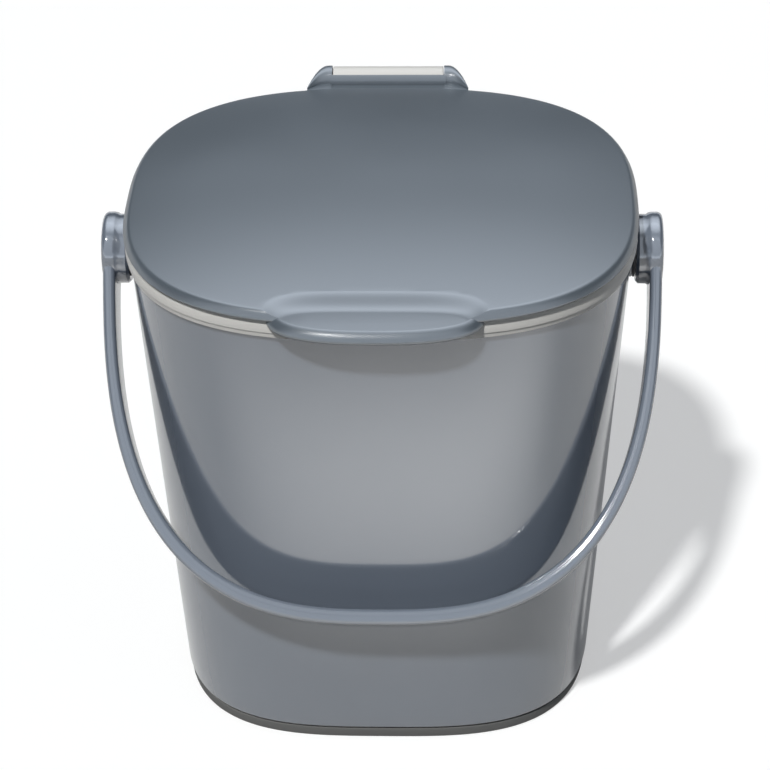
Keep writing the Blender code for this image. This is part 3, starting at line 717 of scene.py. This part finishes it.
def rim_ring_mesh(shape):
    """Light ring over the bucket's edge, with a leaning face and a small step below it."""
    low = shape.rim_height - SPIGOT_DEPTH + GAP
    ceiling = shape.rim_height + GAP
    top = ring_top_z(shape)
    outer = -shape.ring_proud - RING_FLUSH
    stepped = outer + RING_STEP
    outer_leg = SPIGOT_INSET - GAP
    inner_leg = shape.wall + GAP
    inner = inner_leg + RING_INNER_LEG
    inner_low = shape.rim_height - RING_INNER_DROP
    step_z = low + RING_STEP_HEIGHT
    face_low, face_high = step_z + RING_STEP, top - RING_EDGE
    face = []
    for step in range(ROUND_STEPS + 1):
        share = step / ROUND_STEPS
        face.append((outer + RING_LEAN * share * share, face_low + (face_high - face_low) * share))
    profile = [
        *rounded((stepped, low), (outer_leg, low), (stepped, step_z), RING_EDGE / 3),
        (stepped, step_z),
        *face,
        *rounded((outer + RING_LEAN, top), face[-1], (inner, top), RING_EDGE / 2),
        *rounded((inner, top), (outer, top), (inner, low), RING_EDGE),
        (inner, inner_low),
        (inner_leg, inner_low),
        (inner_leg, ceiling),
        (outer_leg, ceiling),
        (outer_leg, low),
    ]
    return solid([wall_ring(shape, z, inset) for inset, z in profile], endless=True)


def barrel_mesh():
    """Hinge barrel behind the ring, with its bore."""
    corner = (BARREL_HALF_LENGTH, BARREL_RADIUS)
    bore = (BARREL_HALF_LENGTH, HINGE_PIN_RADIUS + GAP)
    half = [*rounded(corner, (0, BARREL_RADIUS), bore, BARREL_ROUND), bore]
    profile = [(-x, radius) for x, radius in half[::-1]] + half
    return turned(profile, HINGE.y, HINGE.z, endless=True)


def bracket_mesh(shape):
    """Bracket that carries the hinge barrel on the back of the ring."""
    top = ring_top_z(shape)
    root_y = MIDDLE_Y + shape.rim_half_depth + shape.ring_proud / 2 - SPIGOT_INSET + GAP
    low = top - BRACKET_DROP
    high = top - RING_EDGE - GAP
    barrel_under = HINGE.z - BARREL_RADIUS / 2
    outline = (
        (root_y, low),
        (HINGE.y - BARREL_RADIUS, low),
        (HINGE.y, high - BARREL_RADIUS / 2),
        (HINGE.y + BARREL_RADIUS / 2, high),
        (HINGE.y + BARREL_RADIUS * math.cos(BRACKET_SLOPE), barrel_under),
        (HINGE.y + BARREL_RADIUS / 2, HINGE.z - BARREL_RADIUS * BRACKET_SIDE_SHARE),
        (HINGE.y, HINGE.z - BARREL_RADIUS * BRACKET_MIDDLE_SHARE),
        (HINGE.y - BARREL_RADIUS / 2, HINGE.z - BARREL_RADIUS * BRACKET_SIDE_SHARE),
        (HINGE.y - BARREL_RADIUS, high),
        (root_y, high),
    )
    return extruded(outline, BARREL_HALF_LENGTH - GAP)


def lid_ring(shape, lid, z, inset=0.0):
    """Ring that follows the lid's edge, moved inwards by inset."""
    return oval(lid.half_width - inset, lid.half_depth - inset, shape.rim_squareness, z)


def crown_ring(shape, lid, share, drop=0.0):
    """Ring on the dome at a share of the lid's half sizes."""
    crown = lid_bottom_z(shape) + lid.edge_height + lid.crown_rise
    z = crown - lid.crown_rise * share**lid.crown_power - drop
    return oval(lid.half_width * share, lid.half_depth * share, shape.rim_squareness, z)


def dome_z(shape, lid, point):
    """Height of the dome above or below a point, level beyond the lid's edge."""
    power = shape.rim_squareness
    across, along = abs(point.x) / lid.half_width, abs(point.y - MIDDLE_Y) / lid.half_depth
    share = min((across**power + along**power) ** (1 / power), 1.0)
    return lid_bottom_z(shape) + lid.edge_height + lid.crown_rise * (1 - share**lid.crown_power)


def edge_rings(shape, lid):
    """Rings of one smooth curve from the dome's end down to the lid's widest line."""
    start = crown_ring(shape, lid, CROWN_END_SHARE)
    end = lid_ring(shape, lid, lid_bottom_z(shape) + LID_EDGE_ROUND)
    run = (1 - CROWN_END_SHARE) * lid.half_width
    slope = lid.crown_rise * lid.crown_power * CROWN_END_SHARE ** (lid.crown_power - 1)
    slope /= lid.half_width
    rings = []
    for step in range(1, 2 * ROUND_STEPS + 1):
        t = step / (2 * ROUND_STEPS)
        shares = ((1 - t) ** 3, 3 * (1 - t) ** 2 * t, 3 * (1 - t) * t * t, t**3)
        ring = []
        for first, last in zip(start, end):
            second = first + (last - first) * LID_EDGE_START
            second.z = first.z - slope * run * LID_EDGE_START
            third = last + (first - last) * LID_EDGE_LEAN
            third.z = last.z + (first.z - last.z) * LID_EDGE_RISE
            points = (first, second, third, last)
            ring.append(sum((point * share for point, share in zip(points, shares)), Vector()))
        rings.append(ring)
    return rings


def tab_place(shape, lid):
    """Place of the thumb tab's front along Y, and the height of its top there."""
    top = lid_bottom_z(shape) - TAB_DROP + lid.tab_thickness
    return MIDDLE_Y - lid.half_depth - lid.tab_reach, top


def tilted(ring, front_y):
    """Ring whose height falls towards the front, as the tab's top does."""
    for point in ring:
        point.z += TAB_RISE_SHARE * (point.y - front_y)
    return ring


def tab_mesh(shape, lid):
    """Thumb tab: a rounded slab, level below and tilted on top."""
    front_y, top = tab_place(shape, lid)
    low, high = top - lid.tab_thickness, top + SHELF_SKIM

    def edge_ring(radius, angle, z, way):
        inset = radius * (1 - math.cos(angle) ** TAB_ROUND_POWER)
        lift = radius * (1 - math.sin(angle) ** TAB_ROUND_POWER)
        size = (lid.tab_half_width - inset, TAB_ROOT_DEPTH - inset, TAB_SQUARENESS)
        return oval(*size, z + way * lift, front_y + TAB_ROOT_DEPTH)

    angles = turn(ROUND_STEPS)
    rings = [edge_ring(TAB_UNDER_ROUND, angle, low, 1) for angle in angles[::-1]]
    rings += [tilted(edge_ring(TAB_TOP_ROUND, angle, high, -1), front_y) for angle in angles]
    back = solid([lid_ring(shape, lid, z, TAB_BITE) for z in (low - MM, high + TAB_CUT_HEIGHT)])
    return combined(solid(rings), [("DIFFERENCE", back)])


def shelf_mesh(shape, lid):
    """Tool that takes the dome's front edge away above the tab and leaves a soft ramp behind it."""
    front_y, top = tab_place(shape, lid)
    back_y = MIDDLE_Y - (lid.half_depth - SHELF_DEPTH)
    half_width = lid.tab_half_width + SHELF_SIDE_REACH
    half_depth = (back_y - front_y) / 2 + SHELF_RAMP
    high = lid_bottom_z(shape) + lid.edge_height + lid.crown_rise
    rings = []
    for step in range(SHELF_STEPS + 1):
        share = step / SHELF_STEPS
        # Leaves the shelf and meets the dome without a kink
        blend = share * share * (3 - 2 * share)
        size = (
            half_width - SHELF_SIDE_RAMP * (1 - share),
            half_depth - SHELF_RAMP * (1 - share),
            SHELF_SQUARENESS,
        )
        ring = tilted(oval(*size, top, back_y - half_depth), front_y)
        for point in ring:
            point.z += (dome_z(shape, lid, point) + SHELF_SKIM - point.z) * blend
        rings.append(ring)
    rings.append(oval(*size, high + MM, back_y - half_depth))
    return solid(rings)


def saddle_mesh(shape, lid):
    """Wall that rises from the lid's back edge and wraps the front of the hinge barrel."""
    low = lid_bottom_z(shape)
    root_y = MIDDLE_Y + lid.half_depth - LID_EDGE_WALL
    inner = BARREL_RADIUS + GAP
    under = turn(2 * ROUND_STEPS, SADDLE_UNDER_ANGLE, SADDLE_TOP_ANGLE)
    over = turn(ROUND_STEPS, SADDLE_TOP_ANGLE, SADDLE_FOOT_ANGLE)
    outline = [
        (root_y, low + GAP),
        *arc(HINGE.y, HINGE.z, inner, under),
        *arc(HINGE.y, HINGE.z, inner + SADDLE_LIP, over),
        (root_y, low + lid.edge_height - GAP),
    ]
    return extruded(outline, BARREL_HALF_LENGTH + GAP + EAR_WIDTH / 2)


def ear_mesh(shape, lid, side):
    """Ear beside the barrel that flares down into the lid's back edge."""
    low = lid_bottom_z(shape) + GAP
    high = lid_bottom_z(shape) + lid.edge_height - GAP
    root_y = MIDDLE_Y + lid.half_depth - LID_EDGE_WALL
    start = BARREL_HALF_LENGTH + GAP
    stations = [(start, 1.0)]
    for step in range(EAR_STEPS + 1):
        along_share = step / EAR_STEPS
        fall = (1 - EAR_END_SHARE) * along_share**EAR_SLOPE_POWER
        stations.append((start + EAR_WIDTH + EAR_FLARE * along_share, 1 - fall))
    angles = turn(4 * ROUND_STEPS, EAR_UNDER_ANGLE, EAR_FRONT_ANGLE)
    rings = []
    for x, share in stations:
        centre_y = root_y + (HINGE.y - root_y) * share
        centre_z = high + (HINGE.z - high) * share
        edge = arc(centre_y, centre_z, EAR_RADIUS * share, angles)
        outline = [(root_y, high), (root_y, low), *edge]
        rings.append([Vector((side * x, y, z)) for y, z in outline])
    return solid(rings)


def lid_mesh(shape, lid):
    """Domed outer shell of the lid with its tab, saddle and ears."""
    bottom = lid_bottom_z(shape)
    groove_z = ring_top_z(shape) + GAP + SEAL_HEIGHT + GAP
    rings = []
    for step in range(1, CROWN_BANDS + 1):
        share = CROWN_END_SHARE * (step / CROWN_BANDS) ** CROWN_BAND_POWER
        rings.append(crown_ring(shape, lid, share))
    rings += edge_rings(shape, lid)
    for angle in turn(ROUND_STEPS)[1:]:
        inset = LID_EDGE_ROUND * (1 - math.cos(angle))
        z = bottom + LID_EDGE_ROUND * (1 - math.sin(angle))
        rings.append(lid_ring(shape, lid, z, inset))
    ledge = LID_EDGE_WALL + GAP + SEAL_WIDTH + GAP + LINER_FLANGE + LINER_FLANGE_STEP + LINER_WALL
    rings += [
        lid_ring(shape, lid, bottom, LID_EDGE_WALL),
        lid_ring(shape, lid, groove_z, LID_EDGE_WALL),
        lid_ring(shape, lid, groove_z, ledge),
    ]
    rings += [crown_ring(shape, lid, share, LID_THICKNESS) for share in INNER_CROWN_SHARES]
    reach = BARREL_HALF_LENGTH + GAP + EAR_WIDTH + EAR_FLARE + MM
    bore = turned([(side * reach, HINGE_PIN_RADIUS + GAP) for side in (-1, 1)], HINGE.y, HINGE.z)
    tools = [
        ("UNION", tab_mesh(shape, lid)),
        ("DIFFERENCE", shelf_mesh(shape, lid)),
        ("UNION", saddle_mesh(shape, lid)),
        ("UNION", ear_mesh(shape, lid, -1)),
        ("UNION", ear_mesh(shape, lid, 1)),
        ("DIFFERENCE", bore),
    ]
    return combined(solid(rings), tools)


def seal_mesh(shape, lid):
    """Soft ring in the groove under the lid's edge."""
    low = ring_top_z(shape) + GAP
    high = low + SEAL_HEIGHT
    outer = LID_EDGE_WALL + GAP
    inner = outer + SEAL_WIDTH
    profile = [
        *rounded((outer, low), (inner, low), (outer, high), SEAL_ROUND),
        (outer, high),
        (inner, high),
        *rounded((inner, low), (inner, high), (outer, low), SEAL_ROUND),
    ]
    return solid([lid_ring(shape, lid, z, inset) for inset, z in profile], endless=True)


def liner_mesh(shape, lid):
    """Tray that closes the lid's underside and holds the seal in its groove."""
    outer = LID_EDGE_WALL + GAP + SEAL_WIDTH + GAP
    skirt = outer + LINER_FLANGE_STEP
    inner = skirt + LINER_WALL
    high = ring_top_z(shape) + GAP + SEAL_HEIGHT
    low = high - LINER_DROP

    def corner(inset, floor_z):
        quarter = [(1 - math.sin(angle), 1 - math.cos(angle)) for angle in turn(ROUND_STEPS)]
        return [(inset + LINER_CORNER * x, floor_z + LINER_CORNER * z) for x, z in quarter]

    profile = [
        *corner(skirt, low),
        (skirt, high - LINER_FLANGE),
        (outer, high - LINER_FLANGE),
        (outer, high),
        (inner, high),
        *corner(inner, low + LINER_WALL)[::-1],
    ]
    return solid([lid_ring(shape, lid, z, inset) for inset, z in profile])


def strap_section(thickness, width):
    """Rounded rectangle with a mould seam on each edge, as pairs across and along the strap."""
    points = []
    crest = SEAM_HALF_WIDTH / 3
    seam = ((SEAM_HALF_WIDTH, 0), (crest, 1), (-crest, 1), (-SEAM_HALF_WIDTH, 0))
    half_thickness = thickness / 2 - STRAP_EDGE_RADIUS
    half_width = width / 2 - STRAP_EDGE_RADIUS
    for quadrant, (across, along) in enumerate(((1, 1), (-1, 1), (-1, -1), (1, -1))):
        angles = turn(ROUND_STEPS, quadrant * math.pi / 2, (quadrant + 1) * math.pi / 2)
        points += arc(across * half_thickness, along * half_width, STRAP_EDGE_RADIUS, angles)
        if quadrant in (0, 2):
            for x, proud in seam:
                points.append((along * x, along * (width / 2 + SEAM_PROUD * proud)))
    return points


def hoop_point(handle, half_width, angle):
    """Point of the upright hoop's middle line for an angle from 0 to pi."""
    x, z = oval_point(half_width, handle.reach, handle.squareness, angle)
    return Vector((x, 0.0, z))


def handle_mesh(shape, handle):
    """Hoop handle, modelled upright on its pivot axis and then lowered to its rest."""
    hub_inner = wall_size(shape, PIVOT.z)[0] + BOSS_PROUD + GAP + BUSH_FLANGE + GAP
    hub_end = hub_inner + HUB_LENGTH
    half_width = hub_end + handle.strap_thickness / 2
    pad_outer = hub_end + handle.strap_thickness + PAD_PROUD
    rings = []
    for step in range(HOOP_SECTIONS + 1):
        angle = math.pi * step / HOOP_SECTIONS
        point, ahead, behind = (
            hoop_point(handle, half_width, angle + way * HOOP_SMALL_TURN) for way in (0, 1, -1)
        )
        along = ahead - behind
        if step in (0, HOOP_SECTIONS):
            along = Vector((0.0, 0.0, along.z))
        outwards = Vector((along.z, 0.0, -along.x)).normalized()
        flare_share = max(1 - point.z / STRAP_FLARE_LENGTH, 0)
        width = handle.strap_width + STRAP_FLARE * flare_share * flare_share
        swell = handle.middle_thickness - handle.strap_thickness
        swell *= max(point.z / handle.reach, 0) ** 2
        section = strap_section(handle.strap_thickness + swell, width)
        rings.append([point + outwards * x + Vector((0.0, wide, 0.0)) for x, wide in section])
    tools = []
    for side in (-1, 1):
        profile = [
            (hub_inner, HUB_RADIUS - PAD_ROUND / 2),
            (hub_inner + PAD_ROUND / 2, HUB_RADIUS),
            (hub_end - PAD_ROUND / 2, HUB_RADIUS),
            (hub_end, PAD_RADIUS - PAD_PROUD / 2),
            (hub_end + PAD_ROUND / 2, PAD_RADIUS),
        ]
        for angle in turn(ROUND_STEPS):
            x = pad_outer - PAD_ROUND * (1 - math.sin(angle))
            profile.append((x, PAD_RADIUS - PAD_ROUND * (1 - math.cos(angle))))
        tools.append(("UNION", turned([(side * x, radius) for x, radius in profile])))
        bore = PIVOT_PIN_RADIUS + GAP
        hole = [(side * (hub_inner - MM), bore), (side * (pad_outer - HUB_SKIN), bore)]
        tools.append(("DIFFERENCE", turned(hole)))
    mesh = combined(solid(rings), tools)
    lowered = Matrix.Rotation(math.pi / 2 + handle.rest_angle, 4, "X")
    mesh.transform(Matrix.Translation(PIVOT) @ lowered)
    return mesh


class COMPOST_OT_bucket(bpy.types.Operator):
    """Build the bucket and its foot ring"""

    bl_idname = "compost.bucket"
    bl_label = "Bucket and foot"

    def execute(self, context):
        settings = context.scene.compost_bin
        shape = settings.shape
        bucket = joined([bucket_mesh(shape), boss_mesh(shape, -1), boss_mesh(shape, 1)])
        finished_piece("bucket", bucket, glossy_abs(settings.finishes))
        finished_piece("foot_ring", foot_mesh(shape), foot_rubber(settings.finishes))
        return {"FINISHED"}


class COMPOST_OT_rim_ring(bpy.types.Operator):
    """Build the light rim ring with its hinge barrel"""

    bl_idname = "compost.rim_ring"
    bl_label = "Rim ring"

    def execute(self, context):
        settings = context.scene.compost_bin
        shape = settings.shape
        ring = joined([rim_ring_mesh(shape), bracket_mesh(shape), barrel_mesh()])
        finished_piece("rim_ring", ring, light_polypropylene(settings.finishes))
        return {"FINISHED"}


class COMPOST_OT_lid(bpy.types.Operator):
    """Build the lid shell, its seal and its liner"""

    bl_idname = "compost.lid"
    bl_label = "Lid"

    def execute(self, context):
        settings = context.scene.compost_bin
        shape, lid, finishes = settings.shape, settings.lid, settings.finishes
        finished_piece("lid_shell", lid_mesh(shape, lid), satin_abs(finishes))
        finished_piece("lid_seal", seal_mesh(shape, lid), seal_silicone(finishes))
        liner = liner_mesh(shape, lid)
        finished_piece("lid_liner", liner, light_polypropylene(finishes))
        return {"FINISHED"}


class COMPOST_OT_handle(bpy.types.Operator):
    """Build the hoop handle"""

    bl_idname = "compost.handle"
    bl_label = "Handle"

    def execute(self, context):
        settings = context.scene.compost_bin
        mesh = handle_mesh(settings.shape, settings.handle)
        finished_piece("handle", mesh, glossy_abs(settings.finishes))
        return {"FINISHED"}


class COMPOST_OT_fittings(bpy.types.Operator):
    """Give the pins, plugs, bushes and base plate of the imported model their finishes"""

    bl_idname = "compost.fittings"
    bl_label = "Fittings"

    def execute(self, context):
        finishes = context.scene.compost_bin.finishes
        for finish, names in (
            (drawn_steel(finishes), ("hinge_pin", "pivot_pin_left", "pivot_pin_right")),
            (black_nylon(finishes), ("pivot_bush_left", "pivot_bush_right")),
            (satin_abs(finishes), ("base_plate", "hinge_plug_left", "hinge_plug_right")),
        ):
            for name in names:
                for slot in frame["nodes"][name].material_slots:
                    slot.material = finish
        return {"FINISHED"}


class COMPOST_OT_studio(bpy.types.Operator):
    """Set out the paper floor, the room, the lamps and the camera"""

    bl_idname = "compost.studio"
    bl_label = "Studio"

    def execute(self, context):
        studio = context.scene.compost_bin.studio
        self.make_floor(context, studio)
        self.make_room(context, studio)
        # The key light shines on the object, and its weaker twin is what reflections show of it
        lights = []
        for name, strength, lit, mirrored in (
            ("key_light", studio.key_strength, True, False),
            ("key_glint", studio.glint_strength, False, True),
        ):
            key = bpy.data.lights.new(name, "SUN")
            key.energy = strength
            key.angle = KEY_ANGLE
            lights.append((key, KEY_DIRECTION, lit, mirrored))
        top = bpy.data.lights.new("top_soft_box", "AREA")
        top.shape = "RECTANGLE"
        top.size, top.size_y = TOP_SIZE
        top.energy = studio.top_power
        top.color = linear(LIGHT_TINT)
        lights.append((top, TOP_PLACE, True, True))
        for light, place, lit, mirrored in lights:
            lamp = bpy.data.objects.new(light.name, light)
            lamp.location = place
            lamp.rotation_euler = Vector(place).to_track_quat("Z", "Y").to_euler()
            lamp.visible_diffuse = lit
            lamp.visible_glossy = mirrored
            context.scene.collection.objects.link(lamp)
        self.make_camera(context, studio)
        context.scene.view_settings.view_transform = "Standard"
        return {"FINISHED"}

    def make_floor(self, context, studio):
        """Matt studio paper that takes the object's shadow and glows enough to be seen as white. For reflections
        it shows a painted pool of light in front of the bin and a dim painted glow elsewhere.
        """
        side = PAPER_HALF_SIZE
        corners = [(-side, -side, 0.0), (side, -side, 0.0), (side, side, 0.0), (-side, side, 0.0)]
        mesh = bpy.data.meshes.new("paper_floor")
        mesh.from_pydata(corners, [], [(0, 1, 2, 3)])
        paper = bpy.data.materials.new("paper_matt_white")
        paper.use_nodes = True
        tree = paper.node_tree
        tree.nodes.clear()
        path = add_node(tree, "ShaderNodeLightPath", {}).outputs
        rays = {0: path["Is Glossy Ray"], 1: path["Is Transmission Ray"]}
        mirrored = add_node(tree, "ShaderNodeMath", rays, operation="MAXIMUM").outputs[0]
        rays = {0: path["Is Camera Ray"], 1: mirrored}
        seen = add_node(tree, "ShaderNodeMath", rays, operation="MAXIMUM").outputs[0]
        bounced, shown = (*studio.paper_bounce, 1.0), (*studio.paper_colour, 1.0)
        tints = {0: seen, COLOUR_A: bounced, COLOUR_B: shown}
        tint = add_node(tree, "ShaderNodeMix", tints, data_type="RGBA")
        matt = add_node(tree, "ShaderNodeBsdfDiffuse", {"Color": tint.outputs[COLOUR_OUT]})
        # Painted pool of light: the glow that only reflections see is brightest in front of the bin and fades to a
        # dim painted glow further away
        place = add_node(tree, "ShaderNodeTexCoord", {}).outputs["Object"]
        scaled = add_node(tree, "ShaderNodeMapping", {"Vector": place, "Scale": PAINTED_POOL_SCALE})
        places = {0: scaled.outputs["Vector"], 1: PAINTED_POOL_PLACE}
        distance = add_node(tree, "ShaderNodeVectorMath", places, operation="DISTANCE")
        span = {"Value": distance.outputs["Value"], "From Max": PAINTED_POOL_REACH}
        span.update({"To Min": PAINTED_POOL_GLOW, "To Max": PAINTED_FLOOR_GLOW})
        painted_pool = add_node(tree, "ShaderNodeMapRange", span, interpolation_type="SMOOTHSTEP")
        glows = {0: mirrored, NUMBER_A: PAPER_GLOW, NUMBER_B: painted_pool.outputs["Result"]}
        glows = {0: seen, 1: add_node(tree, "ShaderNodeMix", glows).outputs[0]}
        strength = add_node(tree, "ShaderNodeMath", glows, operation="MULTIPLY")
        glow = add_node(tree, "ShaderNodeEmission", {"Strength": strength.outputs[0]})
        both = add_node(tree, "ShaderNodeAddShader", {0: matt.outputs[0], 1: glow.outputs[0]})
        add_node(tree, "ShaderNodeOutputMaterial", {"Surface": both.outputs[0]})
        mesh.materials.append(paper)
        floor = bpy.data.objects.new("paper_floor", mesh)
        floor.location.z = -PAPER_DROP
        context.scene.collection.objects.link(floor)

    def make_room(self, context, studio):
        """White horizon that fades into a dim, even room, with two soft glows in reflections."""
        world = bpy.data.worlds.new("studio_room")
        world.use_nodes = True
        tree = world.node_tree
        tree.nodes.clear()
        direction = add_node(tree, "ShaderNodeTexCoord", {}).outputs["Generated"]
        split = add_node(tree, "ShaderNodeSeparateXYZ", {"Vector": direction}).outputs
        span = {"Value": split["Z"], "To Min": 1.0, "To Max": studio.room_light}
        span.update({"From Min": math.sin(HORIZON_END), "From Max": math.sin(ROOM_START)})
        horizon = add_node(tree, "ShaderNodeMapRange", span, interpolation_type="SMOOTHSTEP")
        span = {"Value": split["Y"], "From Min": FRONT_START, "From Max": FRONT_END}
        span["To Max"] = FRONT_GLOW
        front = add_node(tree, "ShaderNodeMapRange", span, interpolation_type="SMOOTHSTEP")
        directions = {0: direction, 1: Vector(GLOW_DIRECTION).normalized()}
        nearness = add_node(tree, "ShaderNodeVectorMath", directions, operation="DOT_PRODUCT")
        span = {"Value": nearness.outputs["Value"], "From Min": math.cos(GLOW_REACH)}
        span["To Max"] = studio.back_glow
        back = add_node(tree, "ShaderNodeMapRange", span)
        path = add_node(tree, "ShaderNodeLightPath", {}).outputs
        strength = back.outputs["Result"]
        for operation, value in (
            ("ADD", front.outputs["Result"]),
            ("MULTIPLY", path["Is Glossy Ray"]),
            ("ADD", horizon.outputs["Result"]),
            ("MAXIMUM", path["Is Camera Ray"]),
        ):
            values = {0: strength, 1: value}
            strength = add_node(tree, "ShaderNodeMath", values, operation=operation).outputs[0]
        tints = {0: path["Is Camera Ray"], COLOUR_A: (*linear(LIGHT_TINT), 1.0), COLOUR_B: WHITE}
        tint = add_node(tree, "ShaderNodeMix", tints, data_type="RGBA").outputs[COLOUR_OUT]
        room = add_node(tree, "ShaderNodeBackground", {"Color": tint, "Strength": strength})
        add_node(tree, "ShaderNodeOutputWorld", {"Surface": room.outputs[0]})
        context.scene.world = world

    def make_camera(self, context, studio):
        """Camera at the photograph's place and angle."""
        data = bpy.data.cameras.new("photograph")
        data.sensor_width = SENSOR_WIDTH
        data.lens = studio.focal_length
        level = math.cos(CAMERA_ELEVATION)
        sine, cosine = math.sin(CAMERA_AZIMUTH), math.cos(CAMERA_AZIMUTH)
        forward = Vector((-sine * level, cosine * level, -math.sin(CAMERA_ELEVATION)))
        right = Vector((cosine, sine, 0.0))
        up = right.cross(forward)
        rolled_right = right * math.cos(CAMERA_ROLL) + up * math.sin(CAMERA_ROLL)
        rolled_up = up * math.cos(CAMERA_ROLL) - right * math.sin(CAMERA_ROLL)
        turned_to = Matrix((rolled_right, rolled_up, -forward)).transposed().to_4x4()
        camera = bpy.data.objects.new("photograph", data)
        camera.matrix_world = Matrix.Translation(studio.camera_place) @ turned_to
        context.scene.collection.objects.link(camera)
        context.scene.camera = camera


OPERATORS = (
    COMPOST_OT_bucket,
    COMPOST_OT_rim_ring,
    COMPOST_OT_lid,
    COMPOST_OT_handle,
    COMPOST_OT_fittings,
    COMPOST_OT_studio,
)


class COMPOST_PT_panel(bpy.types.Panel):
    """Buttons that build the bin"""

    bl_idname = "COMPOST_PT_panel"
    bl_label = "Compost bin"
    bl_space_type = "VIEW_3D"
    bl_region_type = "UI"
    bl_category = "Compost bin"

    def draw(self, context):
        column = self.layout.column()
        for operator in OPERATORS:
            column.operator(operator.bl_idname)
        settings = context.scene.compost_bin
        for field in ("shape", "lid", "handle", "finishes", "studio"):
            group = getattr(settings, field)
            for name in group.bl_rna.properties.keys():
                if name not in ("rna_type", "name"):
                    column.prop(group, name)


GROUPS = (BinShape, LidShape, HandleShape, Finishes, Studio, CompostBin)
CLASSES = (*GROUPS, *OPERATORS, COMPOST_PT_panel)


def register():
    for cls in CLASSES:
        bpy.utils.register_class(cls)
    bpy.types.Scene.compost_bin = PointerProperty(
        type=CompostBin, name="Compost bin", description="Settings of the bin"
    )


def unregister():
    del bpy.types.Scene.compost_bin
    for cls in reversed(CLASSES):
        bpy.utils.unregister_class(cls)


def main():
    register()
    bpy.ops.compost.bucket()
    bpy.ops.compost.rim_ring()
    bpy.ops.compost.lid()
    bpy.ops.compost.handle()
    bpy.ops.compost.fittings()
    bpy.ops.compost.studio()


if __name__ == "__main__":
    main()
